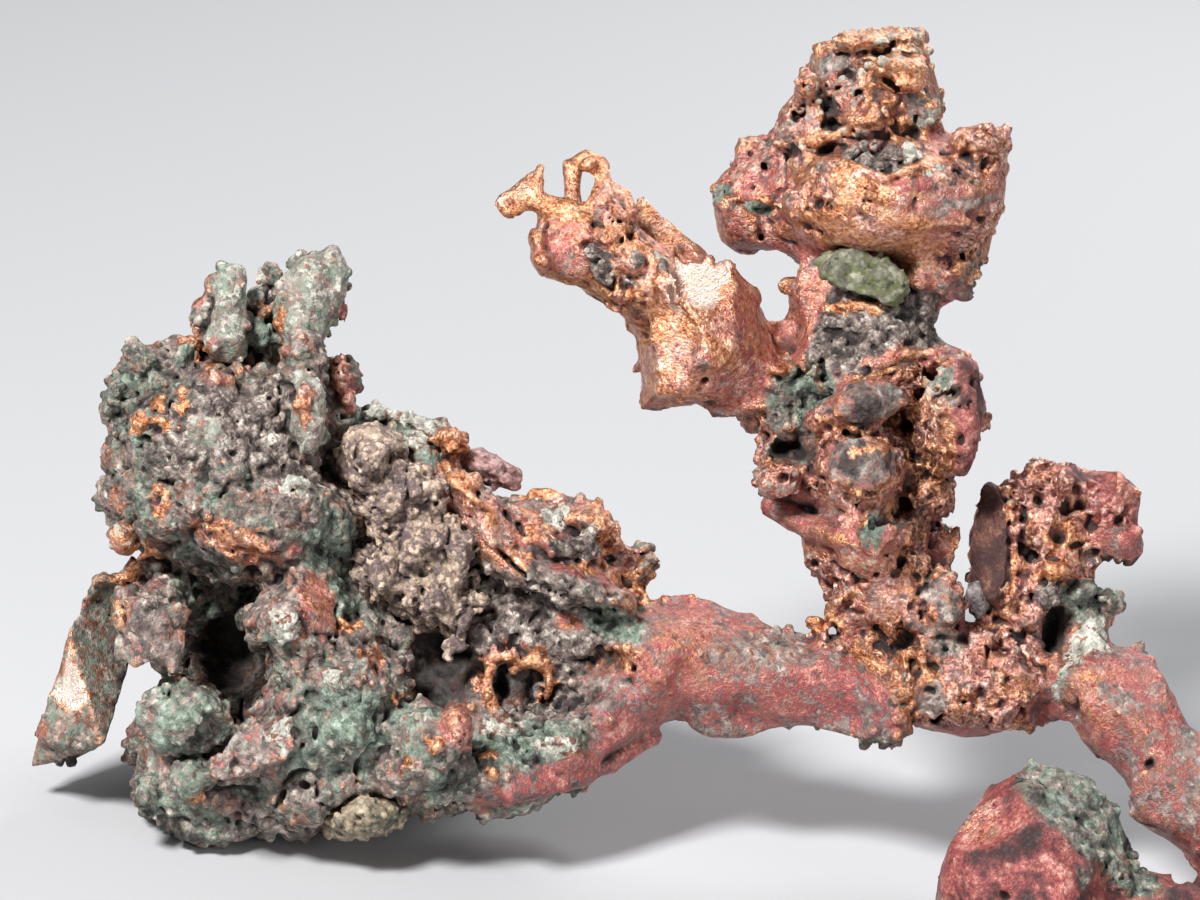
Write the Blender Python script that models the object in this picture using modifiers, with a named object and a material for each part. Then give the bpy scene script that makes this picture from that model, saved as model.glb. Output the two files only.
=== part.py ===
"""Branching native copper nugget with its embedded stones, for Blender 4.5.

The nugget is modelled in a growth frame, in millimetres: x runs along the cross bar from the
knobbly head to the limb, y runs from the front to the back, and z runs from the foot to the crown.
Every branch is a heap of lumps (balls and blocks). The heaps are fused into one skin, roughened,
thinned to few triangles, hollowed for the embedded stones and parted at the main forks. At the end
the whole nugget is tipped into the stance in which it rests, on small worn feet at z = 0.
"""

import math

import bmesh
import bpy
from mathutils import Euler, Matrix, Vector

MM = 0.001
CUTTERS = "cutters"  # the collection of what is cut, fused or cut with, emptied at the end

# Stance: how the growth frame is turned when the nugget stands on its feet.
STANCE_PITCH = math.radians(20)  # the crown leans back over the head
STANCE_ROLL = math.radians(6)  # the limb's end is raised to the level of the head's foot
FLOOR_LEVEL = 13.6  # mm along the stance's up direction, where the feet are worn flat
FLOOR_BLOCK = (100, 0, -200, 400, 400, 200, 0, 0)  # a block whose top face is the floor

# Skin: how the fused lumps become one rough surface.
BALL_DETAIL = 3  # subdivisions of a ball
VOXEL = 1.15  # mm, the cell of the fused skin
SMOOTHING_STEPS = 3
COARSE_RELIEF = (9.0, 2.0)  # mm, size and height of the rolling lumps
FINE_RELIEF = (4.0, 1.4)  # mm, size and height of the knobs between them
COPPER_TRIANGLES = 6400

# Embedded stones and forks.
SOCKET_GAP = 0.3  # mm left free around each stone
FORK_GAP = 0.3  # mm left free between two branches at a fork
STONE_VOXEL = 0.8  # mm, the cell of a stone's fused skin
STONE_RELIEF_SIZE = 3.5  # mm
STONE_SMOOTHING_STEPS = 1
STONE_ROUGHNESS = 0.9

# Lumps: (x, y, z, half length x, half depth y, half height z, tilt in the xz plane in degrees)
HEAD_BALLS = (
    # upper head
    (33.8, 0, 66, 15.8, 20, 14.3, 0),
    (21.0, -2, 75, 5.3, 9, 7.5, 0),
    (20.3, 0, 63.8, 4.2, 12, 9, 0),
    (20.5, 0, 81.3, 2.7, 4, 2.4, 0),
    (27.0, 0, 80.3, 4.2, 6, 4.2, 0),
    (29.7, -1, 83.3, 1.8, 3, 3, 0),
    (35.0, 1, 80, 6, 6, 4, 0),
    (38.7, 2, 85.0, 3.3, 5, 6, 0),
    (39.0, 0, 57, 16.5, 22, 10.5, 0),
    (33.0, -11, 68, 13, 9.5, 12, 0),
    (41.0, -12, 58, 10, 9, 9, 0),
    (28.0, -10, 60, 8, 9, 8, 0),
    (18.0, -8, 54, 2.1, 2.5, 2.1, 0),
    (22.5, -4, 57, 4.5, 8, 3.8, 0),
    # two fingers, the ridge under the second and the red stub behind it
    (33.9, -6, 88, 3.2, 3.4, 7.8, 4),
    (46.5, -3, 90.3, 5.0, 4.2, 8.4, 14),
    (50.0, -3, 93.6, 2.1, 3, 3.8, 0),
    (46.0, -10, 77, 3.4, 6, 9.5, 0),
    (50.8, 0, 76.5, 3.0, 4.5, 6.5, 0),
    (47.5, 0, 70, 6, 8, 6, 0),
    # ridge that carries the blade, and the lower left lumps
    (22.5, 2, 48, 8.3, 6, 3.4, -30),
    (18.0, -2, 45, 4.0, 5, 3.6, -50),
    (25.5, -8, 43.5, 4.5, 9, 4.5, 0),
    (29.0, 8, 46, 9, 9, 8, 0),
    (20.7, 0, 33, 1.6, 3, 2.4, 0),
    (27.0, -12, 28.5, 6.8, 8, 5.3, 0),
    (30.0, -2, 18.8, 9.8, 16, 9, 0),
    (32.3, -4, 12, 6.8, 11, 4.2, 0),
    (34.5, 14, 37.5, 10, 9, 15, 0),
    # right jaw of the cave, its pointed knob and the lower fin
    (46.5, -8, 39, 6.8, 14, 15, 0),
    (39.3, -18, 43.2, 3.9, 4, 2.6, 10),
    (43.5, -16, 42, 4.5, 6, 4.2, 0),
    (39.3, -20, 23.3, 8.7, 5, 3.2, -30),
    (45.0, -12, 24, 7.5, 10, 6.8, 0),
    (45.0, -4, 16.5, 10.5, 16, 6.6, 0),
    (52.5, -12, 30, 9, 12, 10.5, 0),
    # belly
    (57.0, 8, 45, 16.5, 17, 19.5, 0),
    (60.0, 4, 63, 10.5, 13, 9.8, 15),
    (75.0, 6, 39, 13.5, 12, 13.5, 0),
    (56.0, -6, 19.5, 8, 13, 5, 0),
    (63.0, -6, 19.5, 9, 16, 6.4, 0),
    (65.3, -18, 24.8, 5.2, 6, 5.2, 0),
    (70.0, 2, 27, 9, 11, 8, 0),
    (75.0, -4, 19, 10.5, 14, 6, 0),
    (84.0, -2, 22.5, 9, 12, 6.6, -20),
    (91.5, 0, 28, 7.5, 10, 7, -25),
    (88.5, 2, 40, 10, 9, 9, 0),
    # shoulder with its two ridges, and the mossy stub
    (81.0, 0, 52.5, 11.3, 9, 6.8, 25),
    (85.5, 0, 56.0, 7.5, 7, 5.3, 0),
    (73.0, -8, 56.3, 3, 5, 10.5, -31),
    (87.0, -9, 47.0, 10.5, 5, 2.6, 15),
    (67.8, 0, 68.0, 2.8, 3, 4.0, 0),
    (95.5, 3, 50.5, 3.6, 4, 3.6, 0),
    # back of the head and the heel under it
    (45.0, 22, 55, 17, 15, 20, 0),
    (34.0, 13, 68, 14, 12, 11, 0),
    (60.0, 27, 38, 17, 13, 16, 0),
    (66.0, 34, 27, 10, 9, 10, 0),
    (74.0, 20, 42, 11, 10, 11, 0),
)
BAR_BALLS = (
    (99.0, 0, 35.3, 9, 10, 9.6, 0),
    (103.5, 0, 42, 5.3, 6, 4.5, 20),
    (109.5, 0, 35.3, 9, 9, 8.6, 0),
    (120.0, 0, 33.2, 11.3, 8.5, 7.6, 4),
    (109.5, 0, 26.8, 6.8, 4, 3.0, 0),
)
JUNCTION_BALLS = (
    (146.3, 2, 31.8, 12.8, 11, 7.8, 0),
    (139.5, 2, 34.5, 7.5, 10, 8.2, 0),
    (154.5, 2, 31.0, 6, 8, 6.4, 0),
)
COLUMN_BALLS = (
    (134.0, 2, 45, 10.0, 11, 10.5, 0),
    (130.5, 2, 54, 10.8, 11, 9, 0),
    (129.5, 2, 64.5, 14.0, 12, 8.3, 0),
    (121.6, 2, 92.2, 3.2, 6, 6.0, 12),
    (118.0, 1, 65.3, 4.8, 8, 6, 0),
    (142.5, -2, 73.5, 5.3, 9, 9.8, 0),
    (141.0, 2, 57, 2.6, 7, 7.8, 0),
    (129.8, 2, 81, 12.4, 11, 9, 0),
    (131.5, 1, 91, 9.8, 9, 6, 0),
    (126.8, -10, 72.8, 7.5, 4, 4, -27),
    (129.0, -11, 64.5, 7.2, 4, 5.7, 0),
    (129.8, -9, 53.3, 5.7, 4, 6, 0),
    (115.0, 3, 83.5, 5, 4, 6, 0),
    (121.0, 3, 74, 8, 7, 8, 0),
    (112.5, 0, 76, 6.8, 7, 3.8, -14),
)
ARM_BALLS = (
    (93.0, -3, 95.3, 11.3, 7, 6.0, 30),
    (84.8, -3, 97.5, 5.3, 6, 5.5, 0),
    (91.0, -3, 103.8, 4.0, 5, 4.4, 0),
    (101.3, -3, 94.6, 4.5, 6, 4.2, 0),
    (79.5, -4, 105.6, 4.8, 2.5, 2.2, 14),
    (80.8, -4, 108.2, 1.7, 2, 2.8, -20),
    (87.5, -3, 108.6, 3.0, 3, 2.8, 0),
    (76.8, -4, 105.0, 2.0, 2, 2.3, 0),
)
CROWN_BALLS = (
    (133.5, -4, 104.5, 17.5, 14, 9.0, 0),
    (146.3, -2, 109.3, 5.1, 8, 7.0, 0),
    (138.8, 0, 96, 8.0, 9, 6.8, 0),
    (129.8, 2, 117, 12.4, 12, 7.5, 0),
    (132.0, 1, 124, 8.4, 9, 6.4, 0),
    (125.2, 1, 125.6, 4.2, 6, 3.4, 0),
    (134.0, 0, 128.6, 5.8, 7, 2.3, -6),
    (135.0, -8, 124.0, 4.8, 3, 2.4, 0),
    (120.5, 0, 116, 5.3, 7, 5.3, 0),
    (113.5, 7, 104.2, 7.0, 8, 8.0, 0),
    (116.5, 6, 99.6, 7.0, 7, 3, 0),
    (113.3, 7, 111.6, 3.3, 5, 3, 0),
    (118.5, 4, 109.0, 5, 6, 5.5, 0),
    (138.8, 5, 119.3, 3.3, 5, 4.2, 0),
    (146.0, 4, 97.0, 1.9, 3.5, 9.0, 24),
)
KNOB_BALLS = (
    (148.5, 6, 51.8, 2.8, 9, 10.2, 0),
    (156.8, 4, 54.8, 7.5, 10, 11.2, 0),
    (159.0, 3, 61.3, 6.3, 8, 4.8, 0),
    (166.8, 2, 59.0, 5.4, 7, 6, 0),
    (168.8, 1, 53.0, 4.0, 5, 3.2, 0),
    (153.0, 4, 43.5, 5.3, 8, 6, 0),
    (160.0, 4, 49, 4.6, 7, 6.8, 0),
    (163.6, 5, 42.6, 4.9, 6, 4, 0),
)
LIMB_BALLS = (
    (163.0, 0, 33, 5.7, 8, 8, 0),
    (158.0, 6, 38, 6, 6, 6, 0),
    (169.5, -3, 27, 11.4, 8.5, 7.9, 47),
    (177.5, -7, 17, 9.4, 9, 9.4, 0),
    (185.0, -11, 6, 8.4, 9, 9.4, 0),
    (171.3, 0, 37.0, 2.4, 3, 3.0, 0),
    (190.0, -1, 1.5, 7.5, 9, 8, 0),
    (184.0, -16, -1, 8, 9, 8, 0),
)
LOBE_BALLS = (
    (150.9, -29, 2.3, 12.3, 10, 16.7, 0),
    (155.2, -21, 3.8, 13.5, 9, 18.2, 0),
    (163.5, -22, -4.0, 10.0, 9, 9.0, 0),
    (176.0, -21, -1.0, 11, 8, 6.2, 25),
)

# Blocks: as the balls, with a turn in degrees about the block's own height
BLOCKS = (
    (13.2, -4, 33.4, 3.7, 3.7, 11.6, 23, 40),  # the blade, edge to the front
    (23.7, -18, 40.8, 4.8, 4.8, 5.0, 12, 25),  # the square knob above the cave
    (104.9, -3, 86.4, 7.2, 7.2, 8.6, -16, 38),  # the arm's cube with its bright face
    (101.8, -3, 79.2, 5.4, 6.0, 4.4, 0, 10),  # the cube's lower step
    (129.5, -1, 31.0, 6.8, 6.4, 6.2, 12, 0),  # the bar's chiselled end
)

# Hollows: (x, y, z, radius x, radius y, radius z, tilt)
HOLLOWS = (
    (36.5, -14, 37.5, 6.0, 14, 9.5, 0),  # the cave of the head
    (66.0, -16, 36.0, 6.2, 9, 5.4, 0),  # the cave under the matrix
    (138.0, -12, 68.0, 4.2, 7, 8.5, -12),  # the column's side cavity
    (119.5, -9, 67.0, 3.4, 5, 2.2, -15),  # the pocket at the column's left
    (127.0, -17, 110.6, 7.5, 6, 1.7, 12),  # the slot under the crown's lip
    (124.4, -13, 115.0, 2.4, 8, 2.8, 0),  # the crown's eye
    (161.0, -6, 39.5, 2.8, 6, 5.4, 25),  # the green pocket at the limb's head
    (168.0, -5, 49.4, 3.4, 5, 2.4, 20),  # the hollow under the knob's hook
    (84.3, -4, 108.8, 1.6, 9, 2.4, 0),  # the gap between the arm's two horns
)

# Stones: name, colour, balls (x, y, z, radii, tilt), height of the relief in mm, triangles
STONES = (
    (
        "matrix_rock",
        (0.36, 0.29, 0.22),
        (
            (56.3, -8, 66.0, 5.2, 7, 5.4, 0),
            (60.0, -8, 60.0, 6.8, 7, 6.2, 0),
            (64.5, -8, 53.3, 8.0, 7, 6.6, 20),
            (57.8, -9, 50.0, 4.4, 6, 5.0, 0),
            (66.0, -8, 45.8, 6.6, 6, 4.8, 0),
            (68.4, -9, 40.2, 2.5, 4, 3.6, 0),
        ),
        2.4,
        420,
    ),
    (
        "pink_stone",
        (0.40, 0.24, 0.22),
        ((73.2, 1.0, 64.8, 4.4, 4.0, 3.0, 25), (76.2, 1.0, 63.2, 2.6, 3.0, 2.1, 25)),
        0.8,
        110,
    ),
    (
        "tan_stone",
        (0.45, 0.36, 0.24),
        ((55.0, -12, 13.4, 6.4, 7, 3.8, 0), (52.0, -11, 12.6, 3.4, 5, 2.8, 0)),
        0.9,
        140,
    ),
    (
        "green_stone",
        (0.24, 0.28, 0.17),
        ((127.0, -8.2, 94.6, 4.8, 4.6, 3.2, 10), (131.0, -8.0, 92.8, 5.4, 4.4, 3.6, 28)),
        0.8,
        140,
    ),
    ("grey_stone", (0.20, 0.19, 0.20), ((146.7, 1, 44.9, 2.2, 3, 3.2, 0),), 0.4, 60),
)

# Forks: name and the block that holds the branch: centre, half sizes, tilt and turn
FORKS = (
    ("left_arm", (87.1, 0, 93.0, 26.95, 40, 17.2, 40, 0)),
    ("crown", (130, 0, 116.2, 30, 40, 25, 0, 0)),
    ("knobbly_head", (49, 10, 50, 50, 70, 60, 0, 0)),
    ("front_lobe", (148.2, -38.7, -8.7, 30, 30, 31.3, 0, 53.13)),
    ("lower_limb", (189, -10, 6.3, 30, 40, 34, 0, 0)),
    ("right_knob", (163.0, 0, 53.5, 17, 30, 15.4, 5, 0)),
    ("cross_bar", (97.8, 0, 8.6, 40, 40, 60, -37.7, 0)),
    ("column", (126.45, 0, 66.65, 21.45, 40, 27.25, 0, 0)),
)
LAST_BRANCH = "junction"

# Finish of the copper in each branch: base colour and roughness
BRANCH_FINISH = {
    "left_arm": ((0.62, 0.33, 0.17), 0.35),
    "crown": ((0.56, 0.32, 0.19), 0.40),
    "knobbly_head": ((0.24, 0.25, 0.21), 0.75),
    "front_lobe": ((0.28, 0.11, 0.09), 0.45),
    "lower_limb": ((0.40, 0.18, 0.13), 0.45),
    "right_knob": ((0.40, 0.20, 0.14), 0.45),
    "cross_bar": ((0.30, 0.12, 0.10), 0.40),
    "column": ((0.28, 0.16, 0.12), 0.55),
    "junction": ((0.36, 0.19, 0.14), 0.50),
}

STANCE = Euler((-STANCE_PITCH, 0, 0)).to_matrix() @ Euler((0, -STANCE_ROLL, 0)).to_matrix()


def clear_scene():
    for old in list(bpy.data.objects):
        bpy.data.objects.remove(old)


def placed(x, y, z, rx, ry, rz, tilt, turn=0):
    """Matrix of a lump: scaled, turned about its own height, then tilted in the xz plane."""
    return (
        Matrix.Translation(Vector((x, y, z)) * MM)
        @ Euler((0, math.radians(tilt), 0)).to_matrix().to_4x4()
        @ Euler((0, 0, math.radians(turn))).to_matrix().to_4x4()
        @ Matrix.Diagonal((rx * MM, ry * MM, rz * MM, 1))
    )


def new_object(name, mesh, collection):
    made = bpy.data.objects.new(name, mesh)
    collection.objects.link(made)
    if collection.name == CUTTERS:
        made.hide_render = True
        made.display_type = "WIRE"
    return made


def heap(name, balls, blocks, collection):
    """One object holding a ball or a block for each entry."""
    bm = bmesh.new()
    for ball in balls:
        bmesh.ops.create_icosphere(bm, subdivisions=BALL_DETAIL, radius=1, matrix=placed(*ball))
    for block in blocks:
        bmesh.ops.create_cube(bm, size=2, matrix=placed(*block))
    mesh = bpy.data.meshes.new(name)
    bm.to_mesh(mesh)
    bm.free()
    return new_object(name, mesh, collection)


def add_modifier(obj, kind, **settings):
    modifier = obj.modifiers.new(kind.title(), kind)
    for key, value in settings.items():
        setattr(modifier, key, value)
    return modifier


def add_relief(obj, name, size, height):
    """Displace by cloud noise, in and out by half the height."""
    texture = bpy.data.textures.new(name, "CLOUDS")
    texture.noise_scale = size * MM
    texture.noise_depth = 2
    add_modifier(
        obj, "DISPLACE", texture=texture, texture_coords="GLOBAL", strength=height * MM, mid_level=0.5
    )


def freeze(obj):
    """Apply every modifier by replacing the mesh with the evaluated one."""
    graph = bpy.context.evaluated_depsgraph_get()
    mesh = bpy.data.meshes.new_from_object(obj.evaluated_get(graph))
    obj.modifiers.clear()
    obj.data = mesh
    return obj


def combine(obj, other, operation):
    add_modifier(obj, "BOOLEAN", object=other, operation=operation, solver="EXACT")
    return freeze(obj)


def triangle_count(mesh):
    return sum(len(face.vertices) - 2 for face in mesh.polygons)


def thin(obj, triangles):
    """Collapse edges until about this many triangles are left."""
    add_modifier(obj, "DECIMATE", ratio=min(1.0, triangles / triangle_count(obj.data)))
    return freeze(obj)


def cutter_block(name, block, grow, collection):
    x, y, z, rx, ry, rz, tilt, turn = block
    grown = (x, y, z, rx + grow, ry + grow, rz + grow, tilt, turn)
    return heap(name, (), (grown,), collection)


def copper_skin(cutters):
    """All the branches fused into one rough closed skin."""
    balls = (
        HEAD_BALLS
        + BAR_BALLS
        + JUNCTION_BALLS
        + COLUMN_BALLS
        + ARM_BALLS
        + CROWN_BALLS
        + KNOB_BALLS
        + LIMB_BALLS
        + LOBE_BALLS
    )
    skin = heap("copper", balls, BLOCKS, cutters)
    add_modifier(skin, "REMESH", mode="VOXEL", voxel_size=VOXEL * MM)
    freeze(skin)
    hollows = heap("hollows", HOLLOWS, (), cutters)
    add_modifier(hollows, "REMESH", mode="VOXEL", voxel_size=VOXEL * MM)
    freeze(hollows)
    combine(skin, hollows, "DIFFERENCE")
    add_modifier(skin, "REMESH", mode="VOXEL", voxel_size=VOXEL * MM)
    add_modifier(skin, "SMOOTH", iterations=SMOOTHING_STEPS)
    add_relief(skin, "coarse_relief", *COARSE_RELIEF)
    add_relief(skin, "fine_relief", *FINE_RELIEF)
    freeze(skin)
    return thin(skin, COPPER_TRIANGLES)


def rough_stone(name, balls, relief, triangles, collection):
    stone = heap(name, balls, (), collection)
    add_modifier(stone, "REMESH", mode="VOXEL", voxel_size=STONE_VOXEL * MM)
    add_modifier(stone, "SMOOTH", iterations=STONE_SMOOTHING_STEPS)
    add_relief(stone, name + "_relief", STONE_RELIEF_SIZE, relief)
    freeze(stone)
    return thin(stone, triangles)


def socket_for(stone, collection):
    """The stone's own shape, grown along its normals by the gap."""
    socket = new_object(stone.name + "_socket", stone.data.copy(), collection)
    add_modifier(socket, "DISPLACE", strength=SOCKET_GAP * MM, mid_level=0.0)
    return freeze(socket)


def material(name, colour, roughness, metallic):
    made = bpy.data.materials.new(name)
    made.use_nodes = True
    shader = made.node_tree.nodes["Principled BSDF"]
    shader.inputs["Base Color"].default_value = (*colour, 1)
    shader.inputs["Roughness"].default_value = roughness
    shader.inputs["Metallic"].default_value = metallic
    return made


def keep_largest(obj):
    """Remove crumbs that a cut has left loose."""
    bm = bmesh.new()
    bm.from_mesh(obj.data)
    bm.verts.ensure_lookup_table()
    seen, shells = set(), []
    for start in bm.verts:
        if start in seen:
            continue
        shell, edge = {start}, [start]
        while edge:
            for link in edge.pop().link_edges:
                for vert in link.verts:
                    if vert not in shell:
                        shell.add(vert)
                        edge.append(vert)
        seen |= shell
        shells.append(shell)
    shells.sort(key=len)
    for crumb in shells[:-1]:
        bmesh.ops.delete(bm, geom=list(crumb), context="VERTS")
    bm.to_mesh(obj.data)
    bm.free()


def rest_shift(pieces):
    """Move that puts the middle of the pieces' underside on the origin."""
    corners = [piece.matrix_world @ vert.co for piece in pieces for vert in piece.data.vertices]
    low = [min(corner[axis] for corner in corners) for axis in range(3)]
    high = [max(corner[axis] for corner in corners) for axis in range(3)]
    return Vector((-(low[0] + high[0]) / 2, -(low[1] + high[1]) / 2, -low[2]))


def main():
    clear_scene()
    scene = bpy.context.scene
    nugget = bpy.data.collections.new("copper_nugget")
    cutters = bpy.data.collections.new(CUTTERS)
    scene.collection.children.link(nugget)
    scene.collection.children.link(cutters)

    copper = copper_skin(cutters)
    pieces = []
    for name, colour, balls, relief, triangles in STONES:
        stone = rough_stone(name, balls, relief, triangles, nugget)
        combine(copper, socket_for(stone, cutters), "DIFFERENCE")
        stone.data.materials.append(material(name, colour, STONE_ROUGHNESS, 0.0))
        pieces.append(stone)

    floor = heap("floor", (), (FLOOR_BLOCK,), cutters)
    floor.matrix_world = STANCE.inverted().to_4x4() @ Matrix.Translation((0, 0, FLOOR_LEVEL * MM))
    bpy.context.view_layer.update()
    combine(copper, floor, "DIFFERENCE")

    branches = []
    for name, block in FORKS:
        branch = new_object(name, copper.data.copy(), nugget)
        combine(branch, cutter_block(name + "_inner", block, 0, cutters), "INTERSECT")
        combine(copper, cutter_block(name + "_outer", block, FORK_GAP, cutters), "DIFFERENCE")
        keep_largest(branch)
        branches.append(branch)
    last = new_object(LAST_BRANCH, copper.data.copy(), nugget)
    keep_largest(last)
    branches.append(last)
    for branch in branches:
        colour, roughness = BRANCH_FINISH[branch.name]
        branch.data.materials.append(material(branch.name, colour, roughness, 1.0))
    pieces += branches

    stance = STANCE.to_4x4()
    for piece in pieces:
        piece.data.transform(stance)
    bpy.context.view_layer.update()
    shift = rest_shift(pieces)
    for piece in pieces:
        piece.data.transform(Matrix.Translation(shift))
    for cutter in list(cutters.objects):
        bpy.data.objects.remove(cutter)


main()
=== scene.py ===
"""Looks of the branching native copper nugget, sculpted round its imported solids.

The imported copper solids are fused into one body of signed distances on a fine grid. Crystals, lumps,
spars, hollows, cracks, pits and grains are stamped on or cut out of that body, which is then parted
again at the forks and meshed. Named patches say which stretch is grained, pitted, green, golden and so
on. The same patches steer the stamping and reach the node materials as attributes of the meshes. The
stones are made in the same way, one by one.
"""

import math
from functools import cache, reduce

import bpy
import numpy as np
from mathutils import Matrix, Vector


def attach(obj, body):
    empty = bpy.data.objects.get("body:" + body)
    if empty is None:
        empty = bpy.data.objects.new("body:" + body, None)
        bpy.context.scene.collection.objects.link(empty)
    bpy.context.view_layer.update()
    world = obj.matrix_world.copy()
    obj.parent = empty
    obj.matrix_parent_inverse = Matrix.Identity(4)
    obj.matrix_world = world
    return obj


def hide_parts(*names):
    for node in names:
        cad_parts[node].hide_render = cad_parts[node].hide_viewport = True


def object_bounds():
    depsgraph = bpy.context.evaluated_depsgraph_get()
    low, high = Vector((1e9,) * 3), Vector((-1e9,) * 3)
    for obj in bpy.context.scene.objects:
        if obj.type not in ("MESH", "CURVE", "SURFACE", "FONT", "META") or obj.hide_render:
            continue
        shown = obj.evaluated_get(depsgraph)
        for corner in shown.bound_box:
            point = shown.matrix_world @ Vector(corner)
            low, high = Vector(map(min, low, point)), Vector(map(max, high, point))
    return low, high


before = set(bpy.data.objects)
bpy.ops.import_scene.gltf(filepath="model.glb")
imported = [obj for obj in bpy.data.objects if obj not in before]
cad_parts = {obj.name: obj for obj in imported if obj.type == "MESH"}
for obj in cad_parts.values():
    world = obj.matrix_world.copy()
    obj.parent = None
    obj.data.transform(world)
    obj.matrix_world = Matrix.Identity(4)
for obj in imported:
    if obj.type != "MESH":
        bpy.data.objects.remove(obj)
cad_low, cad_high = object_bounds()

import openvdb
from mathutils import Euler, Vector
from mathutils.bvhtree import BVHTree

# ---------------------------------------------------------------- frames and sizes
MM = 0.001
VOXEL = 0.43  # mm, the cell of the copper
STONE_VOXEL = 0.36  # mm
ADAPTIVITY = 0.35  # how freely flat stretches get larger faces
FUSING_VOXEL = 0.8  # mm, wide enough to bridge the gaps at the forks
BAND = 3.0  # mm, how far from the surface distances are kept
MARGIN = 8  # cells round a body
COARSE = 5  # cells between the points at which the amounts of relief are worked out
TILE = 42.0  # mm, the period of the repeating blocks of noise
OVERLAP = 0.9  # mm that a branch reaches into the next one
INSET = 0.4  # how fast it sinks below the other's surface there
SMALLEST_CRUMB = 400  # points that a loose bit needs to stay
BOX_LOW = np.array(cad_low) / MM
BOX_HIGH = np.array(cad_high) / MM
SEED = 7

# The growth frame has x to the picture's right, y into it and z up it, in mm.
PIXEL = 0.15  # mm spanned by a pixel at the nugget's middle
PICTURE_HEIGHT = 900
EYE = np.array((90.0, -900.0, 67.5))
STANCE_PITCH = math.radians(20)
STANCE_ROLL = math.radians(6)
GROWTH_ORIGIN = np.array((-99.201, -12.8848, -13.6))  # mm, in the row frame
STANCE_EULERS = (Euler((-STANCE_PITCH, 0, 0)), Euler((0, -STANCE_ROLL, 0)))
STANCE_MATRIX = STANCE_EULERS[0].to_matrix() @ STANCE_EULERS[1].to_matrix()
STANCE = np.array(STANCE_MATRIX)

# What scrambles a cell's three whole numbers and a seed into a random-looking number
CELL_PRIMES = (73856093, 19349663, 83492791)
SEED_PRIME = 2654435761
HASH_ROUNDS = ((15, 2246822519), (13, 3266489917))
LOW_32_BITS = 0xFFFFFFFF
LOW_24_BITS = 0xFFFFFF

TINY = 1e-9  # keeps divisions away from 0
TINY_STEEPNESS = 1e-6
FAR = 1000.0  # mm, beyond any part of the nugget

# Relief: how deep under the surface cells are moved in mm, and how far their places are pushed about
RELIEF_REACH = 2.0
STONE_RELIEF_REACH = 1.8
GRANULE_PUSH = 0.6
POCKET_PUSH = 1.6
GRAINY = 0.25  # crusts with more grain than this get a tint for each granule
SOFTENING = (0.5, 2)  # mm and passes
STONE_SOFTENING = (0.4, 2)
REGION_RAGGEDNESS = 0.12
PATCH_RAGGEDNESS = 0.3

# Noises: width of the lumps in mm and seed
DRIFT = (11.0, 13)  # the spots in which a region's characters alternate
EDGE_NOISES = ((3.2, 11), (1.1, 12))  # what makes the outlines of the patches ragged
ROLLING = (4.4, 21)
KNOBBLY = (2.3, 23)
VEINS = (4.6, 31)
VEIN_STRENGTH = (9.0, 32)
STONE_ROLLING = (3.0, 41)
STONE_KNOBBLY = (1.3, 42)
STONE_VEINS = (3.6, 43)
STONE_CRUMBLY = (7.0, 44)

# Cells of the crusts and of the sponge: width in mm, seed and height or depth in mm
GRANULES = ((2.3, 61, 0.55), (1.35, 62, 0.75))
POCKETS = ((2.9, 71, 1.6), (1.6, 72, 1.4))

# How many of each are strewn over a mm2 of a stretch that asks for them fully
FACETS_PER_MM2 = 0.05
KNOBS_PER_MM2 = 0.22
PITS_PER_MM2 = 0.45
GRAINS_PER_MM2 = 0.35
CHIPS_PER_MM2 = 0.06  # on the stones
FACET_REACH = 5.5  # mm
CHIP_REACH = 4.0  # mm

# How far past its own size a form's stamp reaches, and how far outside the surface hollows start, in mm
LUMP_MARGIN = 1.5
HOLE_MARGIN = 1
HOLE_LIFT = 0.4
CRACK_LIFT = 0.5
BACK_LUMP_LIFT = -0.3

# A depth in mm under a facet or pit, and how far inside the body the point there has to be
FACET_ROOM = (3.5, 2.6)
PIT_ROOM = (1.6, 1.0)

# How forms join the body or are cut out of it: the fillet and the raggedness of their outline in mm
SMOOTH_JOINT = dict(blend=1.0, ruffled=0.35)
ROUGH_JOINT = dict(blend=0.5, ruffled=0.8)
BACK_JOINT = dict(blend=1.0, ruffled=0.8)
HOLE_CUT = dict(cut=True, blend=0.3, ruffled=0.9)
BACK_HOLE_CUT = dict(cut=True, blend=0.5, ruffled=1.2)
CRACK_CUT = dict(cut=True, ruffled=0.7)
SMOOTH_SPAR = dict(blend=0.5, ruffled=0.3)
ROUGH_SPAR = dict(blend=0.5, ruffled=0.7)

STONES = ("matrix_rock", "pink_stone", "tan_stone", "green_stone", "grey_stone")

# Forks as in the solids: the block that holds each branch, centre, half sizes, tilt and turn
FORKS = (
    ("left_arm", (87.1, 0, 93.0, 26.95, 40, 17.2, 40, 0)),
    ("crown", (130, 0, 116.2, 30, 40, 25, 0, 0)),
    ("knobbly_head", (49, 10, 50, 50, 70, 60, 0, 0)),
    ("front_lobe", (148.2, -38.7, -8.7, 30, 30, 31.3, 0, 53.13)),
    ("lower_limb", (189, -10, 6.3, 30, 40, 34, 0, 0)),
    ("right_knob", (163.0, 0, 53.5, 17, 30, 15.4, 5, 0)),
    ("cross_bar", (97.8, 0, 8.6, 40, 40, 60, -37.7, 0)),
    ("column", (126.45, 0, 66.65, 21.45, 40, 27.25, 0, 0)),
)

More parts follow.
